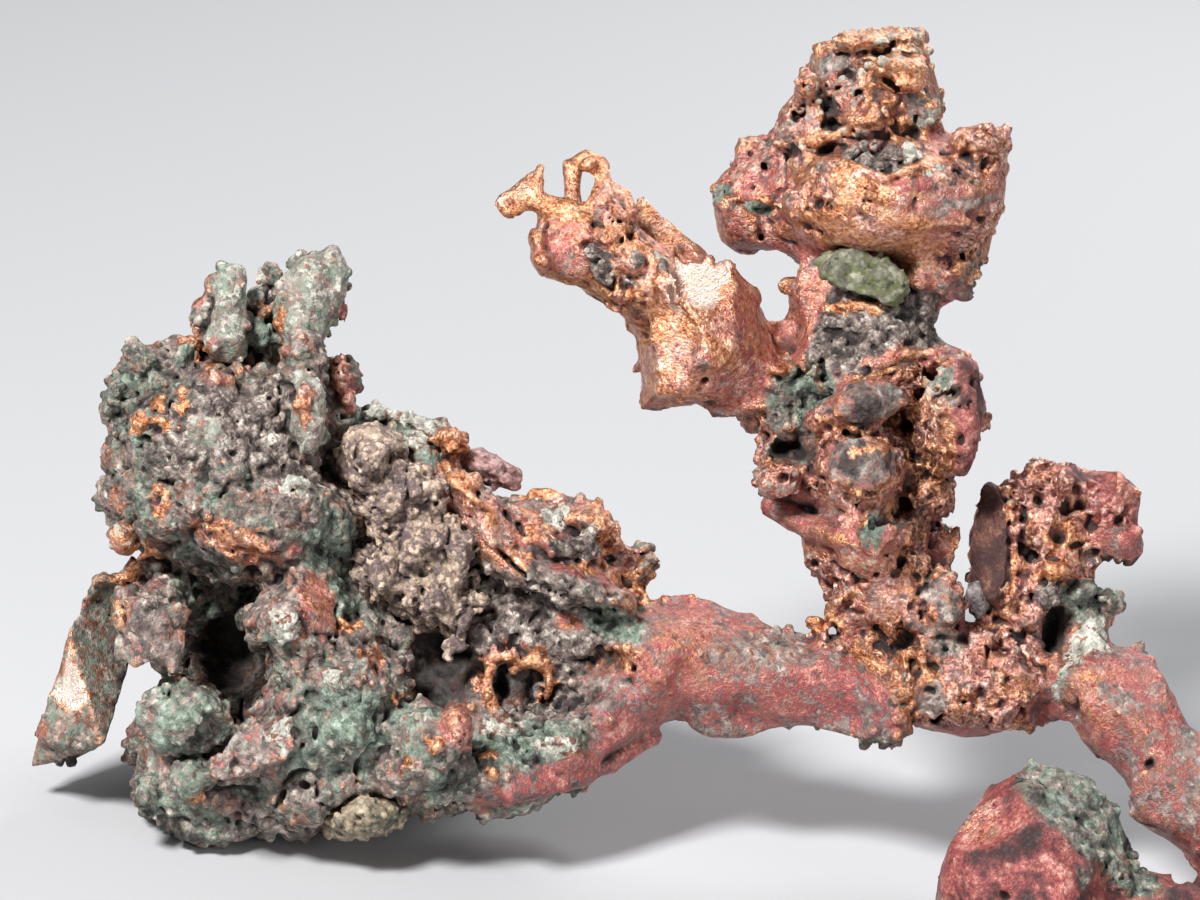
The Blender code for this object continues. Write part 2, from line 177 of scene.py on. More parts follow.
# ---------------------------------------------------------------- looks of the surface, region by region
# What a stretch of surface is like: five amounts that shape it, then six that colour it. A character may
# also fix the tint of its grains.
CHANNELS = ("lump", "grain", "knob", "pit", "facet", "green", "pale", "gold", "red", "grey", "dark")
SHAPING_ONLY = ("lump", "knob", "facet")
CHARACTERS = {
    "crusted": dict(lump=1, grain=0.8, knob=0.4, green=0.38, grey=0.62, red=0.4, gold=0.42, pale=0.2),
    "smooth red": dict(facet=1, lump=0.12, red=0.74, gold=0.36, grey=0.36),
    "dull red": dict(facet=0.8, lump=0.1, red=0.6, gold=0.2, grey=0.45, dark=0.1),
    "sheet red": dict(facet=0.5, lump=0.22, pit=0.08, red=0.85, gold=0.14, grey=0.2, dark=0.64),
    "ore red": dict(lump=0.55, grain=0.12, pit=0.12, red=0.75, gold=0.88, grey=0.34, pale=0.26),
    "maroon": dict(facet=0.4, red=0.5, dark=0.8, grey=0.05),
    "crimson": dict(facet=0.7, lump=0.1, red=1, gold=0.14, grey=0.36, dark=0.22),
    "lobe red": dict(facet=0.7, lump=0.06, red=1, gold=0.08, grey=0.12, dark=0.52),
    "smooth gold": dict(facet=1, lump=0.1, gold=0.9, red=0.5, grey=0.2, pale=0.06, dark=0.12),
    "brown gold": dict(facet=1, lump=0.1, gold=0.45, red=0.55, dark=0.22, grey=0.1),
    "verdigris": dict(lump=0.2, grain=0.2, green=0.46, grey=0.66, pale=0.46, gold=0.46, red=0.4),
    "rough gold": dict(lump=0.4, gold=0.75, red=0.45, pit=0.28, grey=0.25, grain=0.25, pale=0.12, dark=0.08),
    "pink gold": dict(facet=0.4, lump=0.25, gold=0.55, red=0.75, pit=0.06, grey=0.3, pale=0.08, dark=0.08),
    "crown crust": dict(lump=0.75, grain=0.4, knob=0.15, pit=0.12, gold=0.66, red=0.6, grey=0.36, pale=0.34),
    "lilac crust": dict(lump=0.45, grain=0.3, grey=0.58, red=0.75, gold=0.4, green=0.22, pale=0.28, dark=0.2),
    "copper": dict(gold=1),
    # painted highlight on the arm's cube face, and painted reflection with pale dust on the blade's face
    "painted highlight": dict(gold=1.4),
    "painted reflection": dict(gold=1.5, pale=0.5, grey=0.2),
    "blade": dict(green=0.4, grey=0.55, gold=0.42, red=0.35, pale=0.1),
    "red sponge": dict(lump=0.6, pit=0.55, grain=0.12, red=0.8, gold=0.7, grey=0.26, pale=0.2),
    "red rough": dict(lump=0.45, pit=0.4, grain=0.12, red=0.9, gold=0.34, grey=0.22, dark=0.06),
    "gold sponge": dict(lump=0.7, pit=0.5, grain=0.3, gold=0.82, red=0.65, grey=0.25, pale=0.22),
    "dark sponge": dict(lump=0.7, pit=1, gold=0.75, red=0.45, dark=0.15, grey=0.25),
    "grey grains": dict(lump=0.6, grain=1, knob=0.1, grey=1, pale=0.08, dark=0.3),
    "lilac grains": dict(
        lump=0.9, grain=0.5, knob=0.2, pit=0.15, grey=0.6, red=0.6, gold=0.5, pale=0.22, green=0.12
    ),
    "dark grains": dict(lump=0.8, grain=1, knob=0.3, grey=0.9, dark=0.25, gold=0.4, green=0.1),
    "big grains": dict(lump=0.8, grain=0.8, knob=0.8, grey=0.9, dark=0.05, red=0.2, pale=0.1),
    "green grains": dict(lump=0.9, grain=0.9, knob=0.4, green=0.56, grey=0.6, gold=0.42, pale=0.18, dark=0.2),
    "disc grey": dict(lump=0.25, grain=0.12, grey=0.6, red=0.6, gold=0.2, green=0.12, dark=0.66, tint=0.15),
    "dull grey": dict(facet=0.3, lump=0.12, grain=0.15, grey=0.62, red=0.5, gold=0.35, green=0.16),
    "malachite": dict(
        lump=0.6, grain=0.3, green=0.56, grey=0.72, gold=0.36, red=0.4, pale=0.14, dark=0.24, tint=0.35
    ),
    "dark green": dict(lump=0.8, knob=0.1, grain=0.5, green=0.55, grey=0.7, dark=0.42, gold=0.42),
    "turquoise": dict(lump=0.8, knob=0.2, grain=0.7, green=0.76, pale=0.18, grey=0.6, gold=0.34, dark=0.3),
    "mossy": dict(lump=0.6, grain=0.7, green=0.4, pale=0.3, gold=0.5, grey=0.3),
    "pale crust": dict(lump=0.5, grain=0.6, pale=0.8, green=0.3, grey=0.3),
    "white dust": dict(lump=0.3, grain=0.12, pale=0.86, green=0.4, grey=0.3),
    "cream": dict(lump=0.3, grain=0.3, pale=0.42, gold=0.85, red=0.3),
    # near-black paint laid in caves, deep holes and crevices: painted shade
    "black": dict(lump=0.3, grain=0.4, dark=0.9, grey=0.5, green=0.35),
}
NUMBER = {name: index for index, name in enumerate(CHARACTERS)}
AMOUNTS = np.array([[row.get(channel, 0.0) for channel in CHANNELS] for row in CHARACTERS.values()])
BARE_KIND = 255  # marks cells that no form has painted
FORM_SKIN = 0.3  # mm, how far a form's paint reaches past its surface
SMOOTH_LUMP = 0.26  # forms of a character with less lump than this get an even outline

# Regions: centre and half sizes in the growth frame in mm, and the two characters that alternate there
REGIONS = (
    ((52, 8, 50), (50, 42, 46), "crusted", "lilac grains"),
    ((110, 0, 34), (22, 16, 16), "smooth red", "dull grey"),
    ((147, 2, 32), (16, 16, 11), "red sponge", "gold sponge"),
    ((130, 2, 62), (24, 24, 24), "red sponge", "ore red"),
    ((127, 2, 84), (20, 20, 13), "pink gold", "grey grains"),
    ((94, -2, 93), (30, 18, 24), "smooth gold", "pink gold"),
    ((130, 2, 112), (34, 28, 25), "pink gold", "crown crust"),
    ((160, 2, 54), (22, 20, 19), "red sponge", "sheet red"),
    ((178, -4, 20), (24, 22, 24), "smooth red", "dull grey"),
    ((156, -24, 0), (30, 20, 24), "lobe red", "dark green"),
)

# Patches: pixel, half width and half height in pixels, tilt in degrees and character
PATCHES = (
    # head: fingers, crest and left side
    (226, 300, 24, 42, 0, "crusted"),
    (226, 352, 22, 14, 0, "rough gold"),
    (258, 305, 14, 18, 0, "cream"),
    (312, 295, 36, 48, 0, "green grains"),
    (290, 315, 12, 26, 20, "rough gold"),
    (302, 400, 14, 30, 0, "rough gold"),
    (342, 382, 12, 28, 0, "crimson"),
    (192, 340, 14, 26, -20, "rough gold"),
    (140, 400, 40, 60, 0, "green grains"),
    (150, 470, 40, 50, 0, "green grains"),
    (250, 450, 90, 60, 0, "grey grains"),
    (205, 430, 16, 20, 0, "verdigris"),
    (262, 505, 20, 14, 0, "verdigris"),
    (300, 455, 12, 20, 0, "lilac grains"),
    (225, 470, 14, 12, 0, "lilac grains"),
    (225, 500, 60, 40, 0, "crusted"),
    (290, 485, 16, 10, 0, "pale crust"),
    (130, 540, 22, 16, 0, "cream"),
    (235, 545, 50, 20, 20, "rough gold"),
    (330, 560, 30, 60, 0, "turquoise"),
    (315, 600, 22, 40, 0, "pink gold"),
    # head: blade, square knob and cave
    (86, 680, 36, 80, 23, "dark green"),
    (78, 685, 16, 72, 23, "blade"),
    (95, 720, 14, 30, 23, "rough gold"),
    (120, 590, 26, 18, -40, "rough gold"),
    (158, 625, 42, 46, 0, "lilac crust"),
    (165, 650, 24, 20, 0, "dull grey"),
    (185, 590, 26, 18, 20, "malachite"),
    (122, 612, 12, 14, 0, "cream"),
    (240, 630, 44, 66, 0, "dark green"),
    # painted shade in the cave
    (255, 660, 30, 40, 0, "black"),
    (205, 560, 40, 16, 20, "dark green"),
    (185, 720, 60, 40, 10, "malachite"),
    (190, 698, 9, 6, 0, "crimson"),
    (170, 780, 40, 50, 0, "malachite"),
    (232, 805, 26, 18, 0, "lilac grains"),
    (165, 760, 10, 16, 0, "lilac grains"),
    (255, 790, 24, 12, 0, "malachite"),
    (190, 825, 40, 22, 0, "dark green"),
    (196, 795, 10, 8, 0, "rough gold"),
    (260, 745, 50, 34, -35, "lilac crust"),
    (285, 725, 20, 12, -40, "pale crust"),
    (268, 605, 34, 26, 10, "lilac crust"),
    (280, 660, 20, 34, -10, "malachite"),
    # belly
    (340, 680, 60, 50, 0, "crusted"),
    (325, 690, 16, 22, 0, "lilac crust"),
    (372, 655, 14, 18, 0, "rough gold"),
    (345, 626, 10, 10, 0, "copper"),
    (296, 560, 14, 20, 0, "lilac crust"),
    (160, 500, 12, 16, 0, "rough gold"),
    (128, 455, 10, 14, 0, "lilac crust"),
    (118, 500, 10, 14, 0, "cream"),
    (350, 720, 60, 36, 0, "turquoise"),
    (330, 760, 50, 20, 0, "malachite"),
    # painted shade in the belly's hollow
    (440, 660, 44, 60, 10, "black"),
    (435, 735, 34, 36, 0, "malachite"),
    (438, 735, 18, 20, 0, "dull grey"),
    (462, 735, 8, 30, -10, "rough gold"),
    (455, 790, 34, 26, 0, "malachite"),
    (525, 742, 70, 26, -8, "turquoise"),
    (500, 728, 26, 12, 0, "pale crust"),
    (560, 745, 26, 10, 0, "pale crust"),
    (560, 778, 90, 18, -15, "crimson"),
    (625, 745, 46, 36, -30, "crimson"),
    (560, 700, 60, 26, 0, "dark grains"),
    (540, 620, 70, 60, 30, "big grains"),
    # painted shade in the hollows of the belly
    (515, 685, 22, 24, 0, "black"),
    (630, 670, 44, 24, 10, "rough gold"),
    (600, 690, 40, 26, 0, "dull red"),
    (575, 622, 26, 10, 0, "pink gold"),
    (612, 622, 40, 17, 20, "turquoise"),
    # shoulder
    (400, 430, 70, 26, 15, "pale crust"),
    (380, 425, 40, 16, 0, "turquoise"),
    (455, 445, 18, 24, 0, "rough gold"),
    (430, 455, 20, 12, 0, "turquoise"),
    (470, 505, 26, 60, -28, "ore red"),
    (500, 540, 20, 40, -35, "ore red"),
    (545, 525, 75, 36, 28, "ore red"),
    (585, 525, 46, 34, 10, "ore red"),
    (560, 560, 60, 9, 27, "crimson"),
    (527, 532, 12, 12, 0, "rough gold"),
    (572, 562, 26, 8, 25, "rough gold"),
    (598, 528, 12, 16, 0, "copper"),
    (610, 575, 14, 10, 30, "rough gold"),
    (462, 485, 9, 24, -25, "rough gold"),
    (492, 520, 7, 13, -20, "copper"),
    (530, 503, 12, 8, 0, "dull grey"),
    (610, 560, 34, 30, 30, "ore red"),
    (556, 512, 16, 18, 0, "pale crust"),
    (540, 490, 16, 6, 0, "copper"),
    (575, 548, 13, 11, 0, "grey grains"),
    (640, 590, 30, 14, 20, "rough gold"),
    # bar
    (740, 680, 100, 60, 10, "smooth red"),
    (720, 640, 60, 30, 5, "pink gold"),
    (760, 655, 60, 22, 8, "dull grey"),
    (800, 700, 60, 26, 5, "smooth red"),
    (700, 720, 40, 16, 0, "dull red"),
    (850, 700, 50, 30, 30, "crimson"),
    (815, 624, 14, 12, 0, "copper"),
    (865, 655, 34, 10, 35, "copper"),
    # junction
    (960, 700, 60, 40, 0, "gold sponge"),
    (930, 700, 16, 16, 0, "dull grey"),
    (960, 735, 60, 12, 5, "crimson"),
    (1045, 715, 22, 20, 0, "crimson"),
    (985, 660, 40, 30, 0, "red sponge"),
    # column
    (790, 450, 44, 44, 0, "red sponge"),
    (800, 400, 40, 40, 0, "green grains"),
    (815, 385, 24, 30, 0, "turquoise"),
    # painted shade in the column's hollow
    (793, 452, 26, 14, 10, "black"),
    (745, 370, 30, 60, 10, "pink gold"),
    (777, 367, 12, 7, 0, "copper"),
    (866, 402, 42, 22, -8, "disc grey"),
    (838, 398, 9, 18, 0, "pink gold"),
    (875, 374, 24, 9, -8, "rough gold"),
    (862, 462, 36, 32, 0, "disc grey"),
    (858, 495, 26, 9, 0, "gold sponge"),
    (868, 436, 34, 8, 15, "rough gold"),
    (925, 440, 32, 60, 0, "dark sponge"),
    (930, 378, 30, 20, 10, "dark sponge"),
    (971, 420, 15, 64, 3, "sheet red"),
    (940, 362, 40, 10, 8, "pink gold"),
    (915, 540, 40, 50, 0, "dark sponge"),
    (800, 520, 40, 34, 40, "smooth red"),
    (830, 540, 40, 18, 10, "smooth red"),
    (878, 535, 34, 34, 0, "smooth red"),
    (876, 530, 16, 22, 0, "turquoise"),
    (850, 600, 50, 50, 0, "red sponge"),
    (860, 585, 50, 40, 0, "ore red"),
    (840, 590, 26, 40, 0, "red sponge"),
    (936, 598, 16, 26, 0, "dull grey"),
    (930, 612, 12, 14, 0, "rough gold"),
    (940, 560, 24, 16, 0, "gold sponge"),
    (890, 645, 36, 24, 0, "dark sponge"),
    (945, 645, 20, 14, 0, "crusted"),
    # neck
    (862, 330, 74, 42, 0, "grey grains"),
    (810, 300, 16, 46, 10, "pink gold"),
    (950, 320, 12, 50, 0, "crimson"),
    (905, 262, 50, 22, 15, "pink gold"),
    (785, 320, 30, 20, 10, "pink gold"),
    # arm
    (700, 340, 70, 70, 0, "smooth gold"),
    (600, 250, 70, 50, 40, "rough gold"),
    (560, 245, 34, 36, 0, "pink gold"),
    (540, 190, 40, 26, 10, "smooth gold"),
    (620, 300, 24, 16, 30, "rough gold"),
    (745, 320, 22, 60, -15, "brown gold"),
    (665, 385, 24, 18, 0, "smooth gold"),
    (690, 360, 30, 12, 0, "pink gold"),
    (725, 385, 24, 16, 0, "pink gold"),
    # crown
    (745, 200, 44, 64, 0, "pink gold"),
    (722, 196, 13, 13, 0, "turquoise"),
    (758, 207, 18, 9, 10, "green grains"),
    (770, 230, 30, 9, 10, "rough gold"),
    (765, 252, 50, 10, 8, "smooth red"),
    (880, 215, 110, 50, 0, "smooth gold"),
    (905, 205, 40, 8, 12, "pink gold"),
    (840, 190, 60, 30, 10, "rough gold"),
    (965, 200, 40, 60, 0, "pink gold"),
    (955, 178, 40, 10, -8, "crown crust"),
    (915, 183, 26, 9, 0, "smooth red"),
    (965, 203, 44, 7, -14, "dull grey"),
    (880, 262, 70, 12, 0, "smooth gold"),
    (880, 162, 42, 13, 10, "grey grains"),
    (925, 165, 20, 12, 0, "pale crust"),
    (830, 110, 50, 36, 0, "crown crust"),
    (800, 130, 34, 22, 0, "crown crust"),
    (850, 140, 60, 12, 5, "crown crust"),
    (860, 85, 40, 40, 0, "crown crust"),
    (900, 130, 40, 20, 10, "rough gold"),
    (820, 60, 30, 26, -30, "crown crust"),
    (870, 40, 50, 18, 0, "cream"),
    (830, 62, 20, 14, -30, "lilac crust"),
    (905, 100, 14, 12, 0, "pink gold"),
    (890, 56, 42, 8, 0, "cream"),
    (905, 75, 26, 18, 0, "smooth gold"),
    (925, 108, 22, 20, 0, "verdigris"),
    (980, 150, 34, 26, 0, "gold sponge"),
    (970, 240, 12, 50, 40, "red sponge"),
    # knob
    (990, 540, 26, 76, 0, "maroon"),
    (1012, 545, 8, 70, 4, "copper"),
    (1045, 520, 40, 60, 0, "red sponge"),
    (1065, 560, 20, 40, 0, "rough gold"),
    (1115, 515, 32, 40, 0, "red rough"),
    (1120, 545, 26, 18, 0, "smooth red"),
    (1054, 575, 22, 20, 0, "smooth gold"),
    (1075, 605, 42, 22, 0, "dark green"),
    # painted shade in the knob's hollow
    (1050, 625, 18, 34, 0, "black"),
    (1035, 610, 18, 40, 0, "gold sponge"),
    (1090, 643, 18, 34, 35, "white dust"),
    (1070, 680, 15, 22, 30, "white dust"),
    (1068, 686, 14, 22, 20, "verdigris"),
    # limb and lobe
    (1140, 720, 80, 60, 47, "smooth red"),
    (1100, 690, 34, 40, 30, "pink gold"),
    (1120, 700, 26, 14, 40, "dull grey"),
    (1160, 765, 18, 28, 40, "pink gold"),
    (1186, 745, 8, 40, 35, "verdigris"),
    (1128, 760, 20, 14, 0, "crimson"),
    (1170, 800, 40, 60, 30, "dull red"),
    (1010, 850, 80, 90, 0, "lobe red"),
    (980, 810, 26, 36, 20, "pink gold"),
    (1075, 815, 70, 26, 40, "dark green"),
    (1130, 875, 40, 20, 30, "green grains"),
)

# ---------------------------------------------------------------- tables of the forms placed one by one
# Crystals: centre in the growth frame and reach in mm, character, normal and height of each plane, then
# for the first planes the pixel round which they are cut clean, how far in mm, and the character
CRYSTALS = (
    (
        (104.0, 0, 88.0),  # the arm's cube
        19,
        None,
        (
            (-0.35, -0.75, 0.55, 6.5),
            (0.75, -0.60, 0.15, 10.6),
            (-0.25, -0.95, -0.10, 9.2),
            (-0.95, -0.25, -0.10, 8.2),
            (0.69, 0.00, 0.72, 7.7),
            (1, 0, 0, 10.5),
            (0, -0.20, -0.98, 7.3),
            (0, 1, 0, 8.0),
        ),
        (
            # the face cut clean here carries a painted highlight
            (699, 287, 6.2, "painted highlight"),
            (752, 322, 9.0, "brown gold"),
            (668, 340, 6.0, "smooth gold"),
            (643, 372, 5.0, None),
            (None, None, 6.0, None),
        ),
    ),
    (
        (102.3, -3, 78.8),  # its lower step
        12,
        None,
        (
            (-0.30, -0.93, -0.10, 5.4),
            (-0.95, -0.30, 0.0, 4.9),
            (0.30, -0.90, -0.25, 6.6),
            (0.10, -0.20, -0.97, 3.7),
            (1, 0, 0, 5.5),
            (0, 0, 1, 4.0),
            (0, 1, 0, 5.0),
        ),
        ((665, 382, 5.4, "smooth gold"), (None, None, 6.0, "smooth gold")),
    ),
    (
        (12.6, -4, 33.4),  # the blade
        18,
        "blade",
        (
            (-0.62, -0.78, -0.08, 3.0),
            (0.72, -0.62, 0.30, 3.1),
            (-0.93, 0.15, 0.34, 3.6),
            (0.90, 0.20, -0.38, 6.2),
            (-0.15, -0.10, 0.98, 11.2),
            (0.25, -0.10, -0.97, 10.6),
            (0, 1, 0, 6.0),
        ),
        # the blade's front face carries a painted reflection
        ((80, 662, 8.4, "painted reflection"), (None, None, 13.5, "blade"), (None, None, 12.0, "blade")),
    ),
)

# Crisp blocks: centre and half sizes in mm, tilt and turn in degrees, rounding in mm and character
BLOCKS = (
    ((23.7, -18, 40.8), (4.6, 4.6, 4.9), 12, 25, 1.0, None),  # the square knob over the cave
    ((129.5, -1, 31.0), (6.7, 6.3, 6.1), 12, 0, 0.7, None),  # the bar's chiselled end
)

# Lumps: pixel, lift in mm, half width in pixels, half depth in mm, half height in pixels, tilt, character
LUMPS = (
    # fingers and crest of the head
    (306, 302, 0.5, 30, 4.4, 50, 12, "verdigris"),
    (330, 282, 0.3, 18, 3.6, 36, 4, "verdigris"),
    (280, 277, -0.5, 8, 1.6, 7, 0, "green grains"),
    (342, 312, 0.3, 7, 1.8, 12, 0, "red rough"),
    (258, 302, 0.6, 12, 2.5, 18, 0, "pale crust"),
    (262, 312, 1.2, 6, 1.5, 8, 0, "mossy"),
    (254, 334, 0.5, 15, 2.0, 10, 0, "turquoise"),
    (185, 354, 0.5, 7, 1.5, 10, 0, "turquoise"),
    (138, 362, 0.0, 20, 4.0, 18, 0, None),
    (118, 397, 0.0, 13, 4.0, 17, 0, None),
    (308, 414, 0.8, 19, 3.0, 40, 0, "verdigris"),
    (225, 348, 0.8, 20, 3.0, 18, 0, "lilac crust"),
    (288, 310, 3.2, 8, 1.2, 22, 15, "copper"),
    (303, 400, 3.0, 9, 1.0, 22, 0, "rough gold"),
    (316, 437, 1.0, 9, 2.0, 9, 0, "malachite"),
    (340, 374, 0.5, 11, 2.6, 18, -10, "red rough"),
    (345, 398, 0.5, 9, 2.2, 12, 20, "red rough"),
    (293, 483, 0.6, 10, 1.5, 8, 0, "pale crust"),
    (268, 384, 0.6, 10, 2.0, 10, 0, "grey grains"),
    (158, 404, 0.4, 4, 1.0, 7, 10, "copper"),
    (161, 426, 0.4, 6, 1.0, 4, 0, "copper"),
    (140, 427, 0.4, 5, 1.0, 5, 0, "rough gold"),
    # its lower left
    (122, 538, 0.3, 12, 2.5, 17, 0, "cream"),
    # painted shade in a crevice
    (64, 757, 0.0, 12, 1.5, 6, -10, "black"),
    (139, 676, 0.2, 4, 1.0, 7, 0, "copper"),
    (288, 628, 0.5, 5, 1.0, 5, 0, "pale crust"),
    (183, 720, -0.5, 46, 5.0, 38, 10, "malachite"),
    (190, 699, 1.0, 9, 1.6, 6, 0, "crimson"),
    (189, 776, 0.6, 22, 3.0, 20, 0, None),
    (143, 745, 0.2, 13, 4.0, 22, 0, None),
    (150, 795, 0.2, 14, 4.0, 24, 0, None),
    (346, 626, 0.3, 5, 1.0, 5, 0, "copper"),
    (334, 681, 0.3, 5, 1.0, 4, 0, "pale crust"),
    # its right slope and belly
    (380, 412, 0.4, 14, 2.0, 8, 20, "pale crust"),
    (410, 421, 0.4, 13, 2.0, 8, 20, "pale crust"),
    (449, 443, 0.5, 19, 3.0, 15, 0, "rough gold"),
    (436, 749, 0.4, 6, 1.0, 11, 30, "copper"),
    (490, 754, 0.4, 6, 1.0, 5, 0, "copper"),
    (493, 773, 0.4, 5, 1.0, 8, 0, "copper"),
    (410, 702, 0.4, 4, 1.0, 7, 0, "copper"),
    (396, 702, 0.4, 4, 1.0, 4, 0, "copper"),
    (408, 761, 0.4, 4, 1.0, 4, 0, "copper"),
    (456, 724, 0.6, 15, 3.0, 22, 0, "pink gold"),
    (645, 567, 0.0, 14, 3.0, 18, 0, "mossy"),
    (573, 548, 1.0, 10, 2.0, 8, 0, "grey grains"),
    (545, 494, 0.0, 15, 2.0, 7, 5, "copper"),
    (590, 520, 0.2, 24, 3.0, 16, 10, None),
    (518, 512, 0.4, 14, 2.2, 11, 20, None),
    (548, 545, 0.6, 17, 2.4, 9, 25, None),
    (585, 550, 0.6, 14, 2.4, 9, 10, None),
    (612, 545, 0.4, 14, 2.5, 14, 0, "rough gold"),
    # arm
    (590, 166, 0.0, 12, 2.2, 8, 0, "smooth gold"),
    (622, 214, -1.0, 18, 4.0, 20, -20, None),
    (538, 242, 0.0, 9, 3.0, 12, 0, None),
    (543, 262, 0.0, 9, 3.0, 11, 0, None),
    (590, 307, 0.6, 10, 1.8, 10, 0, "disc grey"),
    (591, 250, 0.5, 5, 0.9, 5, 0, "grey grains"),
    (599, 256, 0.5, 6, 1.0, 6, 0, "grey grains"),
    (595, 268, 0.5, 6, 1.0, 6, 0, "green grains"),
    (603, 274, 0.5, 6, 1.0, 7, 0, "grey grains"),
    (633, 226, 0.4, 5, 0.9, 5, 0, "grey grains"),
    (643, 231, 0.4, 6, 0.9, 5, 0, "grey grains"),
    (640, 256, 0.4, 6, 1.0, 6, 0, "grey grains"),
    (664, 256, 0.4, 6, 1.0, 6, 0, "pale crust"),
    (668, 266, 0.4, 5, 0.9, 5, 0, "grey grains"),
    (628, 282, 0.4, 5, 0.9, 5, 0, "grey grains"),
    (625, 296, 0.8, 8, 1.8, 8, 0, "rough gold"),
    # crown
    (909, 157, 0.8, 8, 1.4, 7, 0, "pale crust"),
    (891, 157, 0.8, 7, 1.4, 6, 0, "grey grains"),
    (863, 154, 0.8, 8, 1.4, 7, 0, "grey grains"),
    (872, 41, 0.3, 40, 4.0, 9, -4, "cream"),
    (893, 67, 0.8, 33, 3.0, 9, 4, "cream"),
    (904, 82, 0.0, 22, 3.0, 12, 0, "smooth gold"),
    (888, 105, 0.6, 10, 2.0, 9, 0, "rough gold"),
    (925, 108, 0.0, 20, 2.4, 21, 0, None),
    (980, 144, 0.0, 30, 4.0, 17, 0, None),
    (866, 118, 0.4, 22, 3.0, 17, 20, None),
    (812, 92, 0.3, 14, 2.5, 18, -20, None),
    (785, 158, 0.4, 14, 2.5, 12, 0, None),
    # column
    (777, 368, 0.8, 10, 1.5, 6, 0, "copper"),
    (813, 376, 0.6, 7, 1.4, 8, 0, "mossy"),
    (948, 417, -0.4, 37, 5.0, 62, 3, None),
    (965, 417, -0.2, 19, 4.7, 60, 3, "sheet red"),
    (944, 602, 0.2, 20, 4.5, 34, 0, None),
    (980, 640, 0.0, 22, 4.0, 13, 0, "red sponge"),
    (869, 402, 0.6, 39, 3.2, 22, -8, None),
    (863, 466, 0.5, 35, 3.0, 32, 20, None),
    (778, 480, 0.4, 25, 4.0, 20, 0, None),
    (880, 531, 0.7, 25, 4.0, 22, 35, None),
    (860, 523, 3.0, 5, 1.2, 5, 0, "copper"),
    (814, 622, 0.0, 10, 1.5, 7, 0, "copper"),
    (879, 649, 0.6, 6, 1.2, 6, 0, "copper"),
    # knob
    (991, 543, 0.3, 17, 6.0, 62, -2, "maroon"),
    (1055, 570, 0.6, 15, 2.0, 10, 0, "copper"),
    (1030, 480, 0.4, 16, 3.0, 12, 0, None),
    (1068, 482, 0.3, 14, 3.0, 14, 0, None),
    (1107, 602, 0.0, 17, 3.5, 14, 0, "dark green"),
    (1078, 592, 0.6, 12, 2.0, 8, 0, "dark green"),
    (1048, 592, 0.8, 8, 1.6, 7, 0, "dark grains"),
)

# Lumps on the back: pixel, half width in pixels, half depth in mm, half height in pixels, tilt, character
BACK_LUMPS = (
    (235, 470, 46, 3.5, 20, 30, None),
    (165, 560, 30, 4.0, 22, -20, None),
    (330, 510, 40, 3.5, 26, 20, "lilac crust"),
    (425, 590, 44, 3.5, 22, 35, None),
    (145, 425, 22, 3.0, 34, 0, None),
    (290, 640, 50, 4.5, 24, -15, None),
    (240, 720, 24, 3.5, 30, 10, "malachite"),
    (380, 700, 40, 3.0, 18, 0, "big grains"),
    (520, 640, 34, 2.5, 18, 30, "ore red"),
    (720, 660, 40, 2.5, 16, 10, None),
    (850, 420, 34, 3.5, 24, 20, "sheet red"),
    (870, 560, 30, 3.5, 36, -20, None),
    (790, 180, 34, 3.5, 28, 0, None),
    (890, 110, 28, 4.0, 34, 10, "crown crust"),
    (930, 210, 40, 3.0, 26, -10, None),
    (700, 320, 30, 3.0, 22, 30, "smooth gold"),
    (1040, 510, 24, 3.5, 34, 0, "sheet red"),
    (1090, 700, 34, 3.0, 22, 40, None),
    (1160, 790, 26, 3.0, 36, -20, None),
)

